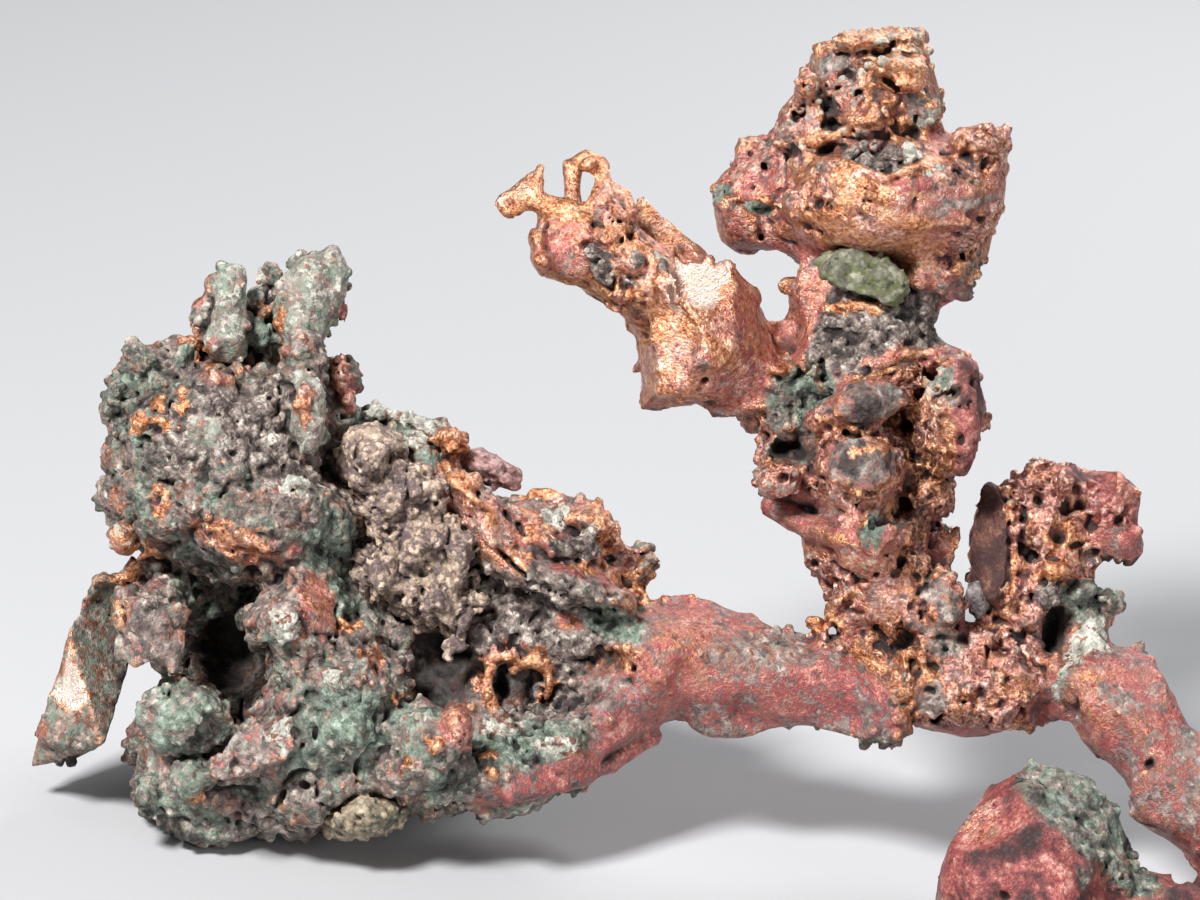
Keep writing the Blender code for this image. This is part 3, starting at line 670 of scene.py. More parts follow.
# Spars: start and end radius in pixels, character, then pixels with a lift in mm
SPARS = (
    # head
    (21, 14, "verdigris", (226, 342, 0.0), (232, 277, 0.0)),
    (3.5, 3.5, "rough gold", (193, 328, 1.5), (213, 372, 1.2)),
    (3.2, 3.2, "copper", (182, 386, 0.8), (181, 416, 0.8)),
    (10, 12, None, (153, 558, 0.0), (92, 606, 0.0)),
    (3.2, 3.2, "copper", (152, 550, 1.2), (118, 574, 1.2), (90, 595, 1.0)),
    (20, 8, None, (282, 618, 0.4), (242, 615, 0.2)),
    (22, 9, None, (275, 740, 0.3), (218, 771, 0.2)),
    (14, 4, "lilac crust", (288, 702, 1.0), (252, 722, 1.6), (213, 766, 1.2)),
    (4, 3.5, "copper", (444, 462, 1.2), (452, 480, 1.4), (468, 496, 1.4), (482, 505, 1.0)),
    (6, 5.5, "rough gold", (489, 702, 0.2), (489, 660, 0.5), (513, 654, 0.6)),
    (5, 5, "copper", (518, 664, 0.3), (536, 662, 0.5), (549, 676, 0.5), (546, 702, 0.3)),
    (11, 8, "crimson", (512, 792, 0.0), (560, 784, 0.2), (610, 764, 0.4), (655, 736, 0.2)),
    # arm
    (27, 20, None, (580, 260, -3.8), (648, 312, -6.0)),
    (14, 9, "smooth gold", (572, 215, -1.0), (521, 199, -0.5)),
    (9, 5, "smooth gold", (532, 192, -0.5), (540, 168, -0.5)),
    (
        *(9, 8, "smooth gold"),
        *((573, 206, 0.0), (572, 166, 0.0), (585, 159, 0.0), (601, 166, 0.0), (606, 200, 0.0)),
    ),
    # crown
    (4, 4, "rough gold", (733, 197, 0.8), (770, 203, 0.8)),
    (4, 4, "cream", (777, 144, 0.8), (812, 140, 0.9), (850, 131, 0.8)),
    (
        *(5, 5, "smooth gold"),
        *((818, 157, 0.6), (857, 167, 0.9), (885, 179, 0.9), (907, 171, 0.8), (1008, 150, 0.2)),
    ),
    (4, 4, "cream", (864, 58, 0.6), (895, 54, 0.8), (925, 60, 0.5)),
    (4, 4, "pink gold", (811, 240, 0.5), (842, 251, 0.5), (874, 257, 0.5)),
    (3.5, 3.5, "rough gold", (1004, 205, 0.0), (989, 233, 0.0), (970, 251, 0.0), (952, 277, 0.0)),
    (4.5, 3, "rough gold", (792, 293, 0.0), (784, 285, 0.0)),
    # column
    (3.5, 3.5, "copper", (838, 305, 0.8), (875, 306, 0.8)),
    (6, 6, "pink gold", (868, 366, 0.0), (905, 354, 0.2), (945, 353, 0.4), (972, 366, 0.4)),
    (3, 3, "copper", (851, 384, 3.6), (875, 376, 3.6), (896, 368, 3.0)),
    (3, 3, "copper", (852, 453, 3.6), (888, 450, 3.4)),
    (15, 10, "smooth red", (774, 506, -0.4), (812, 528, -0.2), (846, 542, -0.4)),
    (2.5, 2.5, "copper", (820, 535, 2.4), (854, 545, 2.4)),
    (5, 5, "crimson", (957, 577, 0.2), (961, 604, 0.2), (958, 631, 0.2)),
    (4.5, 4.5, "copper", (826, 613, 0.5), (860, 645, 0.6), (892, 670, 0.6)),
    # knob
    (4, 4, "rough gold", (1009, 490, 2.4), (1012, 540, 2.6), (1008, 600, 2.0)),
)

# Rings: pixel, lift in mm, radius and thickness in pixels, character
RINGS = (
    (639, 597, 0.8, 7, 3.2, "copper"),
    (511, 204, 0.5, 9, 5.0, "smooth gold"),
    (945, 615, 0.6, 6, 3.0, "rough gold"),
)

# Holes: pixel, half width and half height in pixels, depth in mm, tilt
HOLES = (
    # head
    (342, 287, 5, 4, 2, 0),
    (341, 357, 5, 4, 2, 0),
    (162, 356, 5, 9, 3, 0),
    (171, 404, 7, 7, 3, 0),
    (153, 430, 6, 6, 2.5, 0),
    (134, 674, 8, 21, 5, 0),
    (158, 596, 8, 5, 1.0, 0),
    (252, 575, 10, 11, 3, 0),
    (228, 650, 34, 40, 7, 0),
    (456, 425, 5, 4, 2, 0),
    (440, 650, 28, 30, 5, 0),
    (503, 684, 9, 20, 3.5, 0),
    (530, 686, 11, 16, 3, 0),
    (639, 597, 4.5, 4.5, 2, 0),
    (376, 530, 8, 11, 2, 0),
    # arm
    (507, 207, 5, 6, 1.3, 0),
    (610, 352, 32, 36, 15, 0),
    (555, 176, 6, 14, 20, 0),
    (586, 186, 5, 5, 20, 0),
    (590, 307, 3.5, 3.5, 2.5, 0),
    (618, 222, 6, 4, 2, 0),
    # crown
    (756, 208, 13, 7, 3, 10),
    (750, 153, 4, 4, 2.5, 0),
    (764, 166, 4, 5, 2.5, 0),
    (834, 148, 17, 6, 4, -8),
    (829, 104, 8, 12, 5, 0),
    (836, 122, 13, 7, 4, 0),
    (799, 116, 9, 9, 4, 0),
    (894, 40, 5, 7, 2.5, 0),
    (999, 139, 5, 4, 3, 0),
    (860, 92, 5, 4, 2, 0),
    (915, 118, 4, 5, 2, 0),
    # column
    (775, 379, 5, 4, 2, 0),
    (935, 381, 15, 17, 4, 0),
    (916, 424, 15, 17, 4, 20),
    (944, 438, 7, 20, 3.5, 0),
    (925, 398, 12, 9, 4, 30),
    (869, 459, 5, 4, 2.5, 0),
    (886, 556, 6, 5, 2, 0),
    (914, 478, 12, 16, 3, 0),
    (936, 520, 11, 15, 3, 0),
    (904, 506, 8, 12, 3, 0),
    (926, 552, 9, 8, 2.5, 0),
    (945, 615, 4, 4, 2, 0),
    (901, 634, 6, 9, 3, 0),
    (947, 650, 7, 5, 2.5, 0),
    (833, 632, 7, 6, 20, 0),
    (800, 372, 3, 3, 2, 0),
    (788, 447, 22, 13, 6, -10),
    # knob and junction
    (1040, 500, 10, 11, 3, 0),
    (1060, 535, 11, 9, 3, 0),
    (1030, 556, 8, 11, 3, 0),
    (1052, 480, 7, 6, 2.5, 0),
    (1078, 505, 8, 12, 3, 0),
    (1115, 562, 9, 8, 6, 0),
    (1024, 520, 6, 9, 3, 0),
    (1052, 628, 13, 25, 4, 10),
    (1110, 500, 6, 5, 2, 0),
    (930, 690, 8, 6, 2, 0),
    (985, 690, 9, 7, 2, 0),
    (1008, 897, 6, 5, 3, 0),
)

# Hollows on the back: pixel, half width and half height in pixels, depth in mm
BACK_HOLES = (
    (200, 515, 26, 14, 4),
    (290, 570, 22, 26, 4),
    (370, 560, 24, 12, 3.5),
    (150, 640, 16, 18, 4),
    (220, 400, 18, 14, 3),
    (340, 660, 26, 10, 3.5),
    (470, 640, 22, 12, 3),
    (440, 520, 12, 16, 3),
    (830, 480, 12, 22, 4),
    (895, 500, 10, 16, 4),
    (850, 620, 16, 10, 3),
    (860, 165, 26, 10, 3.5),
    (920, 150, 10, 16, 3),
    (820, 240, 18, 8, 2.5),
    (1060, 560, 10, 20, 3.5),
    (1020, 470, 12, 10, 3),
    (960, 690, 20, 8, 3),
)

# Deep hollows are painted near-black inside, as painted shade
SHADED_DEPTH = 4.5  # mm, hollows deeper than this are dark inside
THROUGH_DEPTH = 10  # mm, and those deeper than this go right through

# Cracks: half width in pixels, depth in mm, then pixels
CRACKS = (
    (4, 2.0, (200, 345), (212, 366), (232, 373), (251, 360)),
    (4, 3.0, (275, 325), (277, 361)),
    (3, 2.5, (280, 379), (279, 417)),
    (4, 3.0, (500, 552), (530, 580), (580, 604), (612, 618)),
    (3, 2.0, (653, 719), (669, 697)),
    (3, 1.2, (646, 352), (665, 357), (688, 358)),
    (3, 2.2, (866, 53), (896, 51), (930, 57)),
    (3, 2.0, (886, 80), (902, 89), (918, 87)),
    (3, 2.0, (955, 172), (975, 174)),
    (2.5, 1.5, (877, 272), (911, 292)),
    (3, 2.5, (818, 349), (826, 382)),
    (2.5, 1.5, (853, 387), (880, 385)),
    (4, 3.0, (836, 426), (866, 440), (895, 428)),
    (4, 2.5, (898, 455), (900, 500)),
    (4, 2.5, (1022, 490), (1024, 600)),
    (3, 1.5, (1030, 790), (1070, 822), (1108, 880)),
)

# Facets: pixel, normal in the growth frame, depth and reach in mm, character
FACETS = (
    (700, 620, (0.10, -0.50, 0.86), 1.0, 10.0, None),
    (765, 645, (0.18, -0.60, 0.78), 1.0, 10.0, None),
    (735, 690, (-0.05, -0.97, -0.22), 1.1, 11.0, None),
    (805, 702, (0.05, -0.95, -0.30), 1.1, 10.0, None),
    (850, 670, (0.30, -0.75, 0.58), 0.8, 8.0, None),
    (922, 38, (0.65, -0.15, 0.75), -0.5, 5.0, None),
    (830, 205, (-0.30, -0.95, 0.02), 0.5, 7.0, None),
    (940, 215, (0.35, -0.93, -0.10), 0.6, 7.0, None),
    (1110, 680, (0.25, -0.75, 0.60), 1.1, 10.0, None),
    (1165, 750, (0.35, -0.80, 0.48), 1.1, 10.0, None),
    (1150, 800, (-0.30, -0.95, -0.10), 1.1, 9.0, None),
    (1100, 730, (-0.40, -0.88, -0.25), 1.1, 9.0, None),
    (985, 800, (-0.45, -0.70, 0.55), 1.2, 10.0, None),
    (1020, 850, (0.00, -0.98, 0.15), 1.2, 11.0, None),
    (1075, 820, (0.50, -0.60, 0.62), 1.2, 10.0, None),
    (268, 750, (-0.45, -0.80, 0.40), 0.5, 6.0, None),
    (985, 545, (-0.65, -0.75, 0.10), 0.3, 9.0, None),
    (162, 702, (-0.50, -0.70, 0.50), -3.0, 7.0, None),
    (205, 735, (0.35, -0.90, -0.20), -3.2, 7.0, None),
)


# ---------------------------------------------------------------- frames
def to_world(points):
    return np.asarray(points, float) @ STANCE.T + GROWTH_ORIGIN


def picture_point(px, py):
    """Where a pixel lies on the plane through the nugget's middle."""
    return to_world((PIXEL * px, 0.0, PIXEL * (PICTURE_HEIGHT - py)))


def facing(normal):
    """A direction in the growth frame as a unit vector in the row frame."""
    return STANCE @ np.array(normal) / np.linalg.norm(normal)


def tilt_axes(tilt, turn=0.0):
    """Columns are a shape's own axes in the row frame: turned about its height, then tilted."""
    tilted = Euler((0, math.radians(tilt), 0)).to_matrix()
    turned = Euler((0, 0, math.radians(turn))).to_matrix()
    return np.array(STANCE_MATRIX @ tilted @ turned)


# ---------------------------------------------------------------- noise
def hashed(cells, seed):
    """A number from 0 to 1 for each whole-number cell."""
    x, y, z = (cells[..., k] * prime for k, prime in enumerate(CELL_PRIMES))
    mixed = ((x ^ y ^ z) + seed * SEED_PRIME) & LOW_32_BITS
    for shift, prime in HASH_ROUNDS:
        mixed = ((mixed ^ (mixed >> shift)) * prime) & LOW_32_BITS
    return ((mixed ^ (mixed >> 16)) & LOW_24_BITS) / float(LOW_24_BITS)


def noise(points, size, seed):
    """Smooth noise from 0 to 1 whose lumps are about size mm wide."""
    scaled = points / size
    cells = np.floor(scaled).astype(np.int64)
    part = scaled - cells
    part = part * part * (3 - 2 * part)
    total = np.zeros(len(points))
    for corner in np.ndindex(2, 2, 2):
        weight = np.prod(np.where(np.array(corner), part, 1 - part), axis=1)
        total += weight * hashed(cells + np.array(corner), seed)
    return total


def step(low, high, value):
    """0 below low and 1 above high, smooth between; low may be the larger."""
    share = np.clip((value - low) / (high - low), 0, 1)
    return share * share * (3 - 2 * share)


# ---------------------------------------------------------------- shapes, as distances round their centre
def own_coordinates(axes, x, y, z):
    return tuple(axes[0, k] * x + axes[1, k] * y + axes[2, k] * z for k in range(3))


def ellipsoid(radii, axes):
    a, b, c = radii

    def distance(x, y, z):
        u, v, w = own_coordinates(axes, x, y, z)
        near = np.sqrt((u / a) ** 2 + (v / b) ** 2 + (w / c) ** 2)
        far = np.sqrt((u / a**2) ** 2 + (v / b**2) ** 2 + (w / c**2) ** 2)
        return near * (near - 1) / np.maximum(far, TINY_STEEPNESS)

    return distance


def block(halves, axes, rounding):
    def distance(x, y, z):
        u, v, w = (np.abs(s) - h + rounding for s, h in zip(own_coordinates(axes, x, y, z), halves))
        outside = np.sqrt(np.maximum(u, 0) ** 2 + np.maximum(v, 0) ** 2 + np.maximum(w, 0) ** 2)
        return outside + np.minimum(np.maximum(np.maximum(u, v), w), 0) - rounding

    return distance


def crystal(planes):
    """What lies under all the planes, each given as a normal in the growth frame and a height."""
    faces = [(*facing(normal), height) for *normal, height in planes]

    def distance(x, y, z):
        return np.maximum.reduce([a * x + b * y + c * z - d for a, b, c, d in faces])

    return distance


def rod(start, end, start_radius, end_radius):
    """A tapered rod between two points given from its centre."""
    along = end - start
    square = float(along @ along)

    def distance(x, y, z):
        share = ((x - start[0]) * along[0] + (y - start[1]) * along[1] + (z - start[2]) * along[2]) / square
        share = np.clip(share, 0, 1)
        gap = (
            (x - start[0] - share * along[0]) ** 2
            + (y - start[1] - share * along[1]) ** 2
            + (z - start[2] - share * along[2]) ** 2
        )
        return np.sqrt(gap) - start_radius - share * (end_radius - start_radius)

    return distance


def beyond_plane(normal, depth, reach):
    """All within the reach beyond a plane that passes depth under the centre and curls up at its rim."""

    def distance(x, y, z):
        height = normal[0] * x + normal[1] * y + normal[2] * z
        away = np.sqrt(x * x + y * y + z * z)
        curl = 2.5 * reach * np.maximum(away / reach - 0.65, 0) ** 2
        return np.maximum(curl - depth - height, away - reach)

    return distance


def ball(radius):
    return lambda x, y, z: np.sqrt(x * x + y * y + z * z) - radius


def joined(a, b, blend):
    """Union of two bodies, with a fillet of about the blend."""
    if not blend:
        return np.minimum(a, b)
    overlap = np.maximum(blend - np.abs(a - b), 0)
    return np.minimum(a, b) - overlap * overlap / (4 * blend)


# ---------------------------------------------------------------- the sculpture
def plain_mesh(nodes):
    """Points in mm and triangles of some CAD nodes together."""
    points, triangles, count = [], [], 0
    for name in nodes:
        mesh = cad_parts[name].data
        mesh.calc_loop_triangles()
        own = np.zeros(len(mesh.vertices) * 3, np.float32)
        mesh.vertices.foreach_get("co", own)
        faces = np.zeros(len(mesh.loop_triangles) * 3, np.int32)
        mesh.loop_triangles.foreach_get("vertices", faces)
        points.append(own.reshape(-1, 3) / MM)
        triangles.append(faces.reshape(-1, 3) + count)
        count += len(mesh.vertices)
    return np.concatenate(points), np.concatenate(triangles).astype(np.uint32)


class Sculpture:
    """A body on a grid: distances in mm, negative inside, and a character and tint for each cell."""

    def __init__(self, points, triangles, quads, voxel):
        self.voxel = voxel
        grid = openvdb.FloatGrid.createLevelSetFromPolygons(
            points,
            triangles=triangles,
            quads=quads,
            transform=openvdb.createLinearTransform(voxelSize=voxel),
            halfWidth=BAND / voxel,
        )
        self.first = np.floor(points.min(0) / voxel).astype(int) - MARGIN
        last = np.ceil(points.max(0) / voxel).astype(int) + MARGIN
        self.distance = np.zeros(last - self.first + 1, np.float32)
        grid.copyToArray(self.distance, ijk=tuple(int(i) for i in self.first))
        self.ruffle = ruffle_tile(voxel)
        self.kind = np.full(self.distance.shape, BARE_KIND, np.uint8)
        self.tint = np.full(self.distance.shape, 128, np.uint8)

    def soften(self, radius, passes):
        """Blur the distances, which rounds edges off."""
        cells = max(1, int(round(radius / self.voxel)))
        for _ in range(passes):
            for axis in range(3):
                self.distance = box_blur(self.distance, cells, axis)

    def stamp(self, shape, centre, reach, cut=False, blend=0.0, kind=None, tint=None, ruffled=0.0):
        """Join a shape to the body or cut it out, and give the cells that it decides a character."""
        low = np.floor((centre - reach) / self.voxel).astype(int) - self.first
        high = np.ceil((centre + reach) / self.voxel).astype(int) + 1 - self.first
        low = np.maximum(low, 0)
        high = np.minimum(high, self.distance.shape)
        if (high <= low).any():
            return
        x, y, z = (
            (np.arange(low[k], high[k]) + self.first[k]) * self.voxel - centre[k] for k in range(3)
        )
        made = shape(x[:, None, None], y[None, :, None], z[None, None, :]).astype(np.float32)
        window = tuple(slice(a, b) for a, b in zip(low, high))
        if ruffled:
            rows = (np.arange(a, b) % len(self.ruffle) for a, b in zip(low, high))
            made += ruffled * self.ruffle[np.ix_(*rows)]
        old = self.distance[window]
        if cut:
            bare = made < FORM_SKIN - old
            self.distance[window] = -joined(-old, made, blend)
        else:
            bare = made < old + FORM_SKIN
            self.distance[window] = joined(old, made, blend)
        if kind:
            self.kind[window][bare] = NUMBER[kind]
            tint = CHARACTERS[kind].get("tint", tint)
        if tint is not None:
            self.tint[window][bare] = int(255 * tint)

    def surface(self, shape=None, adaptivity=0.0):
        """Points in mm, triangles and quads of the body, or of another one on the same grid."""
        grid = openvdb.FloatGrid()
        grid.transform = openvdb.createLinearTransform(voxelSize=self.voxel)
        source = self.distance if shape is None else shape
        grid.copyFromArray(source, ijk=tuple(int(i) for i in self.first))
        points, triangles, quads = grid.convertToPolygons(isovalue=0.0, adaptivity=adaptivity)
        return points.astype(float), triangles.astype(np.int64), quads.astype(np.int64)

    def nearest(self, volume, points):
        """Values of a volume at the cells nearest to some points."""
        cells = np.round(points / self.voxel).astype(int) - self.first
        i, j, k = np.clip(cells, 0, np.array(volume.shape) - 1).T
        return volume[i, j, k]

    def sample(self, volume, points):
        """Values of a volume between its cells."""
        place = points / self.voxel - self.first
        cell = np.clip(np.floor(place).astype(int), 0, np.array(volume.shape) - 2)
        part = np.clip(place - cell, 0, 1)
        total = np.zeros(len(points))
        for corner in np.ndindex(2, 2, 2):
            weight = np.prod(np.where(np.array(corner), part, 1 - part), axis=1)
            i, j, k = (cell + np.array(corner)).T
            total += weight * volume[i, j, k]
        return total


def ruffle_tile(voxel):
    """A repeating block of noise that makes the outlines of stamped shapes irregular."""
    dice = np.random.default_rng(SEED)
    tile = np.zeros((int(TILE / voxel),) * 3, np.float32)
    for size, height in ((1.0, 0.22), (2.2, 0.26)):
        layer = dice.standard_normal(tile.shape).astype(np.float32)
        reach = max(1, int(round(0.3 * size / voxel)))
        for axis in (0, 1, 2, 0, 1, 2):
            layer = sum(np.roll(layer, shift, axis) for shift in range(-reach, reach + 1))
        tile += height * layer / layer.std()
    return tile


@cache
def cell_tile(voxel, size, seed):
    """A repeating block of irregular cells: how far from its cell's middle, and a number for each cell."""
    count = int(TILE / voxel)
    rows = int(round(TILE / size))
    dice = np.random.default_rng(seed)
    jitter = dice.random((rows, rows, rows, 3)).astype(np.float32)
    number = dice.random((rows, rows, rows)).astype(np.float32)
    place = (np.arange(count, dtype=np.float32) + 0.5) * rows / count
    home = np.floor(place).astype(int)
    nearest = np.full((count,) * 3, 9.0, np.float32)
    chosen = np.zeros((count,) * 3, np.float32)
    for shift in np.ndindex(3, 3, 3):
        cells = [home + s - 1 for s in shift]
        own = np.ix_(*(c % rows for c in cells))
        square = np.zeros((count,) * 3, np.float32)
        for axis in range(3):
            shape = [1, 1, 1]
            shape[axis] = count
            square += (jitter[..., axis][own] + (cells[axis] - place).reshape(shape)) ** 2
        closer = square < nearest
        nearest[closer] = square[closer]
        chosen[closer] = number[own][closer]
    return np.sqrt(nearest), chosen


def box_blur(volume, cells, axis):
    """Mean over 2 * cells + 1 cells along an axis."""
    total = volume.copy()
    moved = np.moveaxis(total, axis, 0)
    source = np.moveaxis(volume, axis, 0)
    for shift in range(1, cells + 1):
        moved[shift:] += source[:-shift]
        moved[:-shift] += source[shift:]
        moved[:shift] += source[0]
        moved[-shift:] += source[-1]
    total /= 2 * cells + 1
    return total


def scatter(points, quads, per_mm2, dice):
    """Random places on a surface, with the outward normals there."""
    a, b, c, d = (points[quads[:, k]] for k in range(4))
    across = np.cross(c - a, d - b)
    double = np.linalg.norm(across, axis=1)
    normals = across / np.maximum(double, TINY)[:, None]
    areas = double / 2
    count = int(areas.sum() * per_mm2)
    chosen = dice.choice(len(quads), count, p=areas / areas.sum())
    corners = points[quads[chosen]]
    u, v = dice.random((2, count, 1))
    upper = corners[:, 0] * (1 - u) + corners[:, 1] * u
    lower = corners[:, 3] * (1 - u) + corners[:, 2] * u
    return upper * (1 - v) + lower * v, normals[chosen]


# ---------------------------------------------------------------- patches
class Patches:
    """Regions and patches laid over each other in order; gives the channels at any points."""

    def __init__(self):
        self.layers = []

    def add(self, centre, halves, axes, kinds, ragged):
        self.layers.append((np.asarray(centre, float), np.asarray(halves, float), axes, kinds, ragged))

    def channels(self, points, body=None):
        found = np.tile(AMOUNTS[NUMBER["crusted"]], (len(points), 1))
        drift = noise(points, *DRIFT)
        for kind, low, high in (("malachite", 0.55, 0.68), ("pink gold", 0.38, 0.27)):
            share = step(low, high, drift)[:, None]
            found = found * (1 - share) + AMOUNTS[NUMBER[kind]] * share
        coarse, fine = (noise(points, *sizes) for sizes in EDGE_NOISES)
        edge = 0.6 * coarse + 0.4 * fine - 0.5
        turn = step(0.48, 0.60, drift + 0.3 * edge)[:, None]
        for centre, halves, axes, kinds, ragged in self.layers:
            reach = halves.max() * (1.3 + ragged)
            near = np.flatnonzero((np.abs(points - centre) < reach).all(axis=1))
            if not len(near):
                continue
            own = (points[near] - centre) @ axes / halves
            away = np.linalg.norm(own, axis=1) + ragged * 2 * edge[near]
            weight = step(1.25, 0.7, away)[:, None]
            first, second = (AMOUNTS[NUMBER[kind]] for kind in kinds)
            own = first + (second - first) * turn[near]
            found[near] = found[near] * (1 - weight) + own * weight
        if body:
            kinds = body.nearest(body.kind, points + 0.5 * edge[:, None])
            painted = kinds != BARE_KIND
            found[painted] = AMOUNTS[kinds[painted]]
        return found


# ---------------------------------------------------------------- places on the base surface
class BaseSurface:
    """The fused nugget before any stamping, for finding places by pixel."""

    def __init__(self, points, quads):
        self.tree = BVHTree.FromPolygons(points.tolist(), quads.tolist())
        self.eye = to_world(EYE)

    def sight(self, px, py):
        """The eye and the direction in which it sees a pixel."""
        away = picture_point(px, py) - self.eye
        return self.eye, away / np.linalg.norm(away)

    def at(self, px, py, lift=0.0, behind=False):
        """The point that a pixel shows, or the last one behind it, moved outwards by lift mm.

        A pixel beside the nugget gives the point of its line of sight that is nearest to the nugget.
        """
        away = self.sight(px, py)[1]
        start = self.eye + 2 * FAR * away if behind else self.eye
        away = -away if behind else away
        hit = self.tree.ray_cast(Vector(start), Vector(away))[0]
        if hit is None:
            hit = self.tree.find_nearest(Vector(picture_point(px, py)))[0]
            hit = start + away * float((np.array(hit) - start) @ away)
        return np.array(hit) - lift * away


def fused_copper():
    """The copper nodes as one closed surface, with the gaps at the forks bridged."""
    nodes = [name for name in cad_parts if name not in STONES]
    points, triangles = plain_mesh(nodes)
    grid = openvdb.FloatGrid.createLevelSetFromPolygons(
        points,
        triangles=triangles,
        transform=openvdb.createLinearTransform(voxelSize=FUSING_VOXEL),
        halfWidth=3.0,
    )
    return grid.convertToPolygons(isovalue=0.0, adaptivity=0.0)


# ---------------------------------------------------------------- forms placed one by one
def is_smooth(kind):
    return kind is not None and CHARACTERS[kind].get("lump", 0) < SMOOTH_LUMP


def stamp_round(body, place, width, depth, height, tilt, margin, **settings):
    """Stamp an ellipsoid given by its half width and half height in pixels and half depth in mm."""
    radii = (width * PIXEL, depth, height * PIXEL)
    body.stamp(ellipsoid(radii, tilt_axes(tilt)), place, max(radii) + margin, **settings)


def add_forms(body, base):
    for centre, reach, kind, planes, _ in CRYSTALS:
        body.stamp(crystal(planes), to_world(centre), reach, blend=0.3, kind=kind)
    for centre, halves, tilt, turn, rounding, kind in BLOCKS:
        shape = block(halves, tilt_axes(tilt, turn), rounding)
        body.stamp(shape, to_world(centre), 1.2 * np.linalg.norm(halves) + 1, blend=0.4, kind=kind)
    for px, py, lift, *form, kind in LUMPS:
        joint = SMOOTH_JOINT if is_smooth(kind) else ROUGH_JOINT
        stamp_round(body, base.at(px, py, lift), *form, LUMP_MARGIN, kind=kind, **joint)
    for px, py, *form, kind in BACK_LUMPS:
        place = base.at(px, py, BACK_LUMP_LIFT, behind=True)
        stamp_round(body, place, *form, LUMP_MARGIN, kind=kind, **BACK_JOINT)


def add_spars(body, base):
    for start_radius, end_radius, kind, *route in SPARS:
        add_spar(body, [base.at(*stop) for stop in route], start_radius * PIXEL, end_radius * PIXEL, kind)
    for px, py, lift, radius, thickness, kind in RINGS:
        centre = base.at(px, py, lift)
        turns = np.linspace(0, 2 * math.pi, 9)
        route = [centre + radius * PIXEL * STANCE @ (math.cos(t), 0, math.sin(t)) for t in turns]
        add_spar(body, route, thickness * PIXEL, thickness * PIXEL, kind)


def add_spar(body, route, start_radius, end_radius, kind):
    """Rods from point to point, whose radius changes evenly along the route."""
    radii = np.linspace(start_radius, end_radius, len(route))
    joint = SMOOTH_SPAR if is_smooth(kind) else ROUGH_SPAR
    for start, end, first, last in zip(route, route[1:], radii, radii[1:]):
        middle = (start + end) / 2
        shape = rod(start - middle, end - middle, first, last)
        reach = np.linalg.norm(end - start) / 2 + max(first, last) + 1
        body.stamp(shape, middle, reach, kind=kind, **joint)


def add_hollows(body, base):
    for px, py, width, height, depth, tilt in HOLES:
        # painted shade: deep hollows that don't go through are painted near-black inside
        kind = "black" if SHADED_DEPTH < depth < THROUGH_DEPTH else None
        form = (width, depth, height, tilt, HOLE_MARGIN)
        stamp_round(body, base.at(px, py, HOLE_LIFT), *form, kind=kind, **HOLE_CUT)
    for px, py, width, height, depth in BACK_HOLES:
        place = base.at(px, py, HOLE_LIFT, behind=True)
        stamp_round(body, place, width, depth, height, 0, HOLE_MARGIN, **BACK_HOLE_CUT)
    for width, depth, *route in CRACKS:
        for start, end in zip(route, route[1:]):
            halves = (width * PIXEL, depth, 0.5 * PIXEL * math.dist(start, end) + 0.3)
            tilt = math.degrees(math.atan2(end[0] - start[0], start[1] - end[1]))
            middle = base.at((start[0] + end[0]) / 2, (start[1] + end[1]) / 2, CRACK_LIFT)
            shape = ellipsoid((halves[0], halves[1], halves[2] * 1.2), tilt_axes(tilt))
            body.stamp(shape, middle, max(halves) * 1.2 + HOLE_MARGIN, **CRACK_CUT)


def strewn(body, patches, channel, per_mm2, numbers, dice, room=None):
    """Random places where a channel asks for them, with the outward normal and some random numbers.

    Room is a depth in mm under a place, and how far inside the body the point there has to be.
    """
    points, _, quads = body.surface()
    places, normals = scatter(points, quads, per_mm2, dice)
    amount = patches.channels(places, body)[:, CHANNELS.index(channel)]
    if room:
        depth, inside = room
        amount[body.nearest(body.distance, places - depth * normals) > -inside] = 0
    for place, normal, wanted, draw in zip(places, normals, amount, dice.random((len(places), numbers))):
        if draw[0] <= wanted:
            yield place, normal, draw


def leant(normal, lean, draw):
    """A normal turned aside at random."""
    leaning = normal + lean * (draw - 0.5)
    return leaning / np.linalg.norm(leaning)


def add_facets(body, patches, dice):
    """Chisel flat faces here and there on the smooth stretches."""
    for place, normal, draw in strewn(body, patches, "facet", FACETS_PER_MM2, 6, dice, FACET_ROOM):
        plane = beyond_plane(leant(normal, 0.2, draw[1:4]), 0.1 + 0.4 * draw[4] ** 2, FACET_REACH)
        body.stamp(plane, place, FACET_REACH, cut=True)


def add_faces(body, base):
    """Cut the faces of the crystals clean, then the listed flat faces."""
    for centre, _, _, planes, trims in CRYSTALS:
        for (*normal, height), (px, py, reach, kind) in zip(planes, trims):
            faced = facing(normal)
            foot = to_world(centre) + height * faced
            if px:
                eye, away = base.sight(px, py)
                foot = eye + away * ((foot - eye) @ faced) / (away @ faced)
            body.stamp(beyond_plane(faced, 0.0, reach), foot, reach, cut=True, kind=kind)
    for px, py, normal, depth, reach, kind in FACETS:
        body.stamp(beyond_plane(facing(normal), depth, reach), base.at(px, py), reach, cut=True, kind=kind)


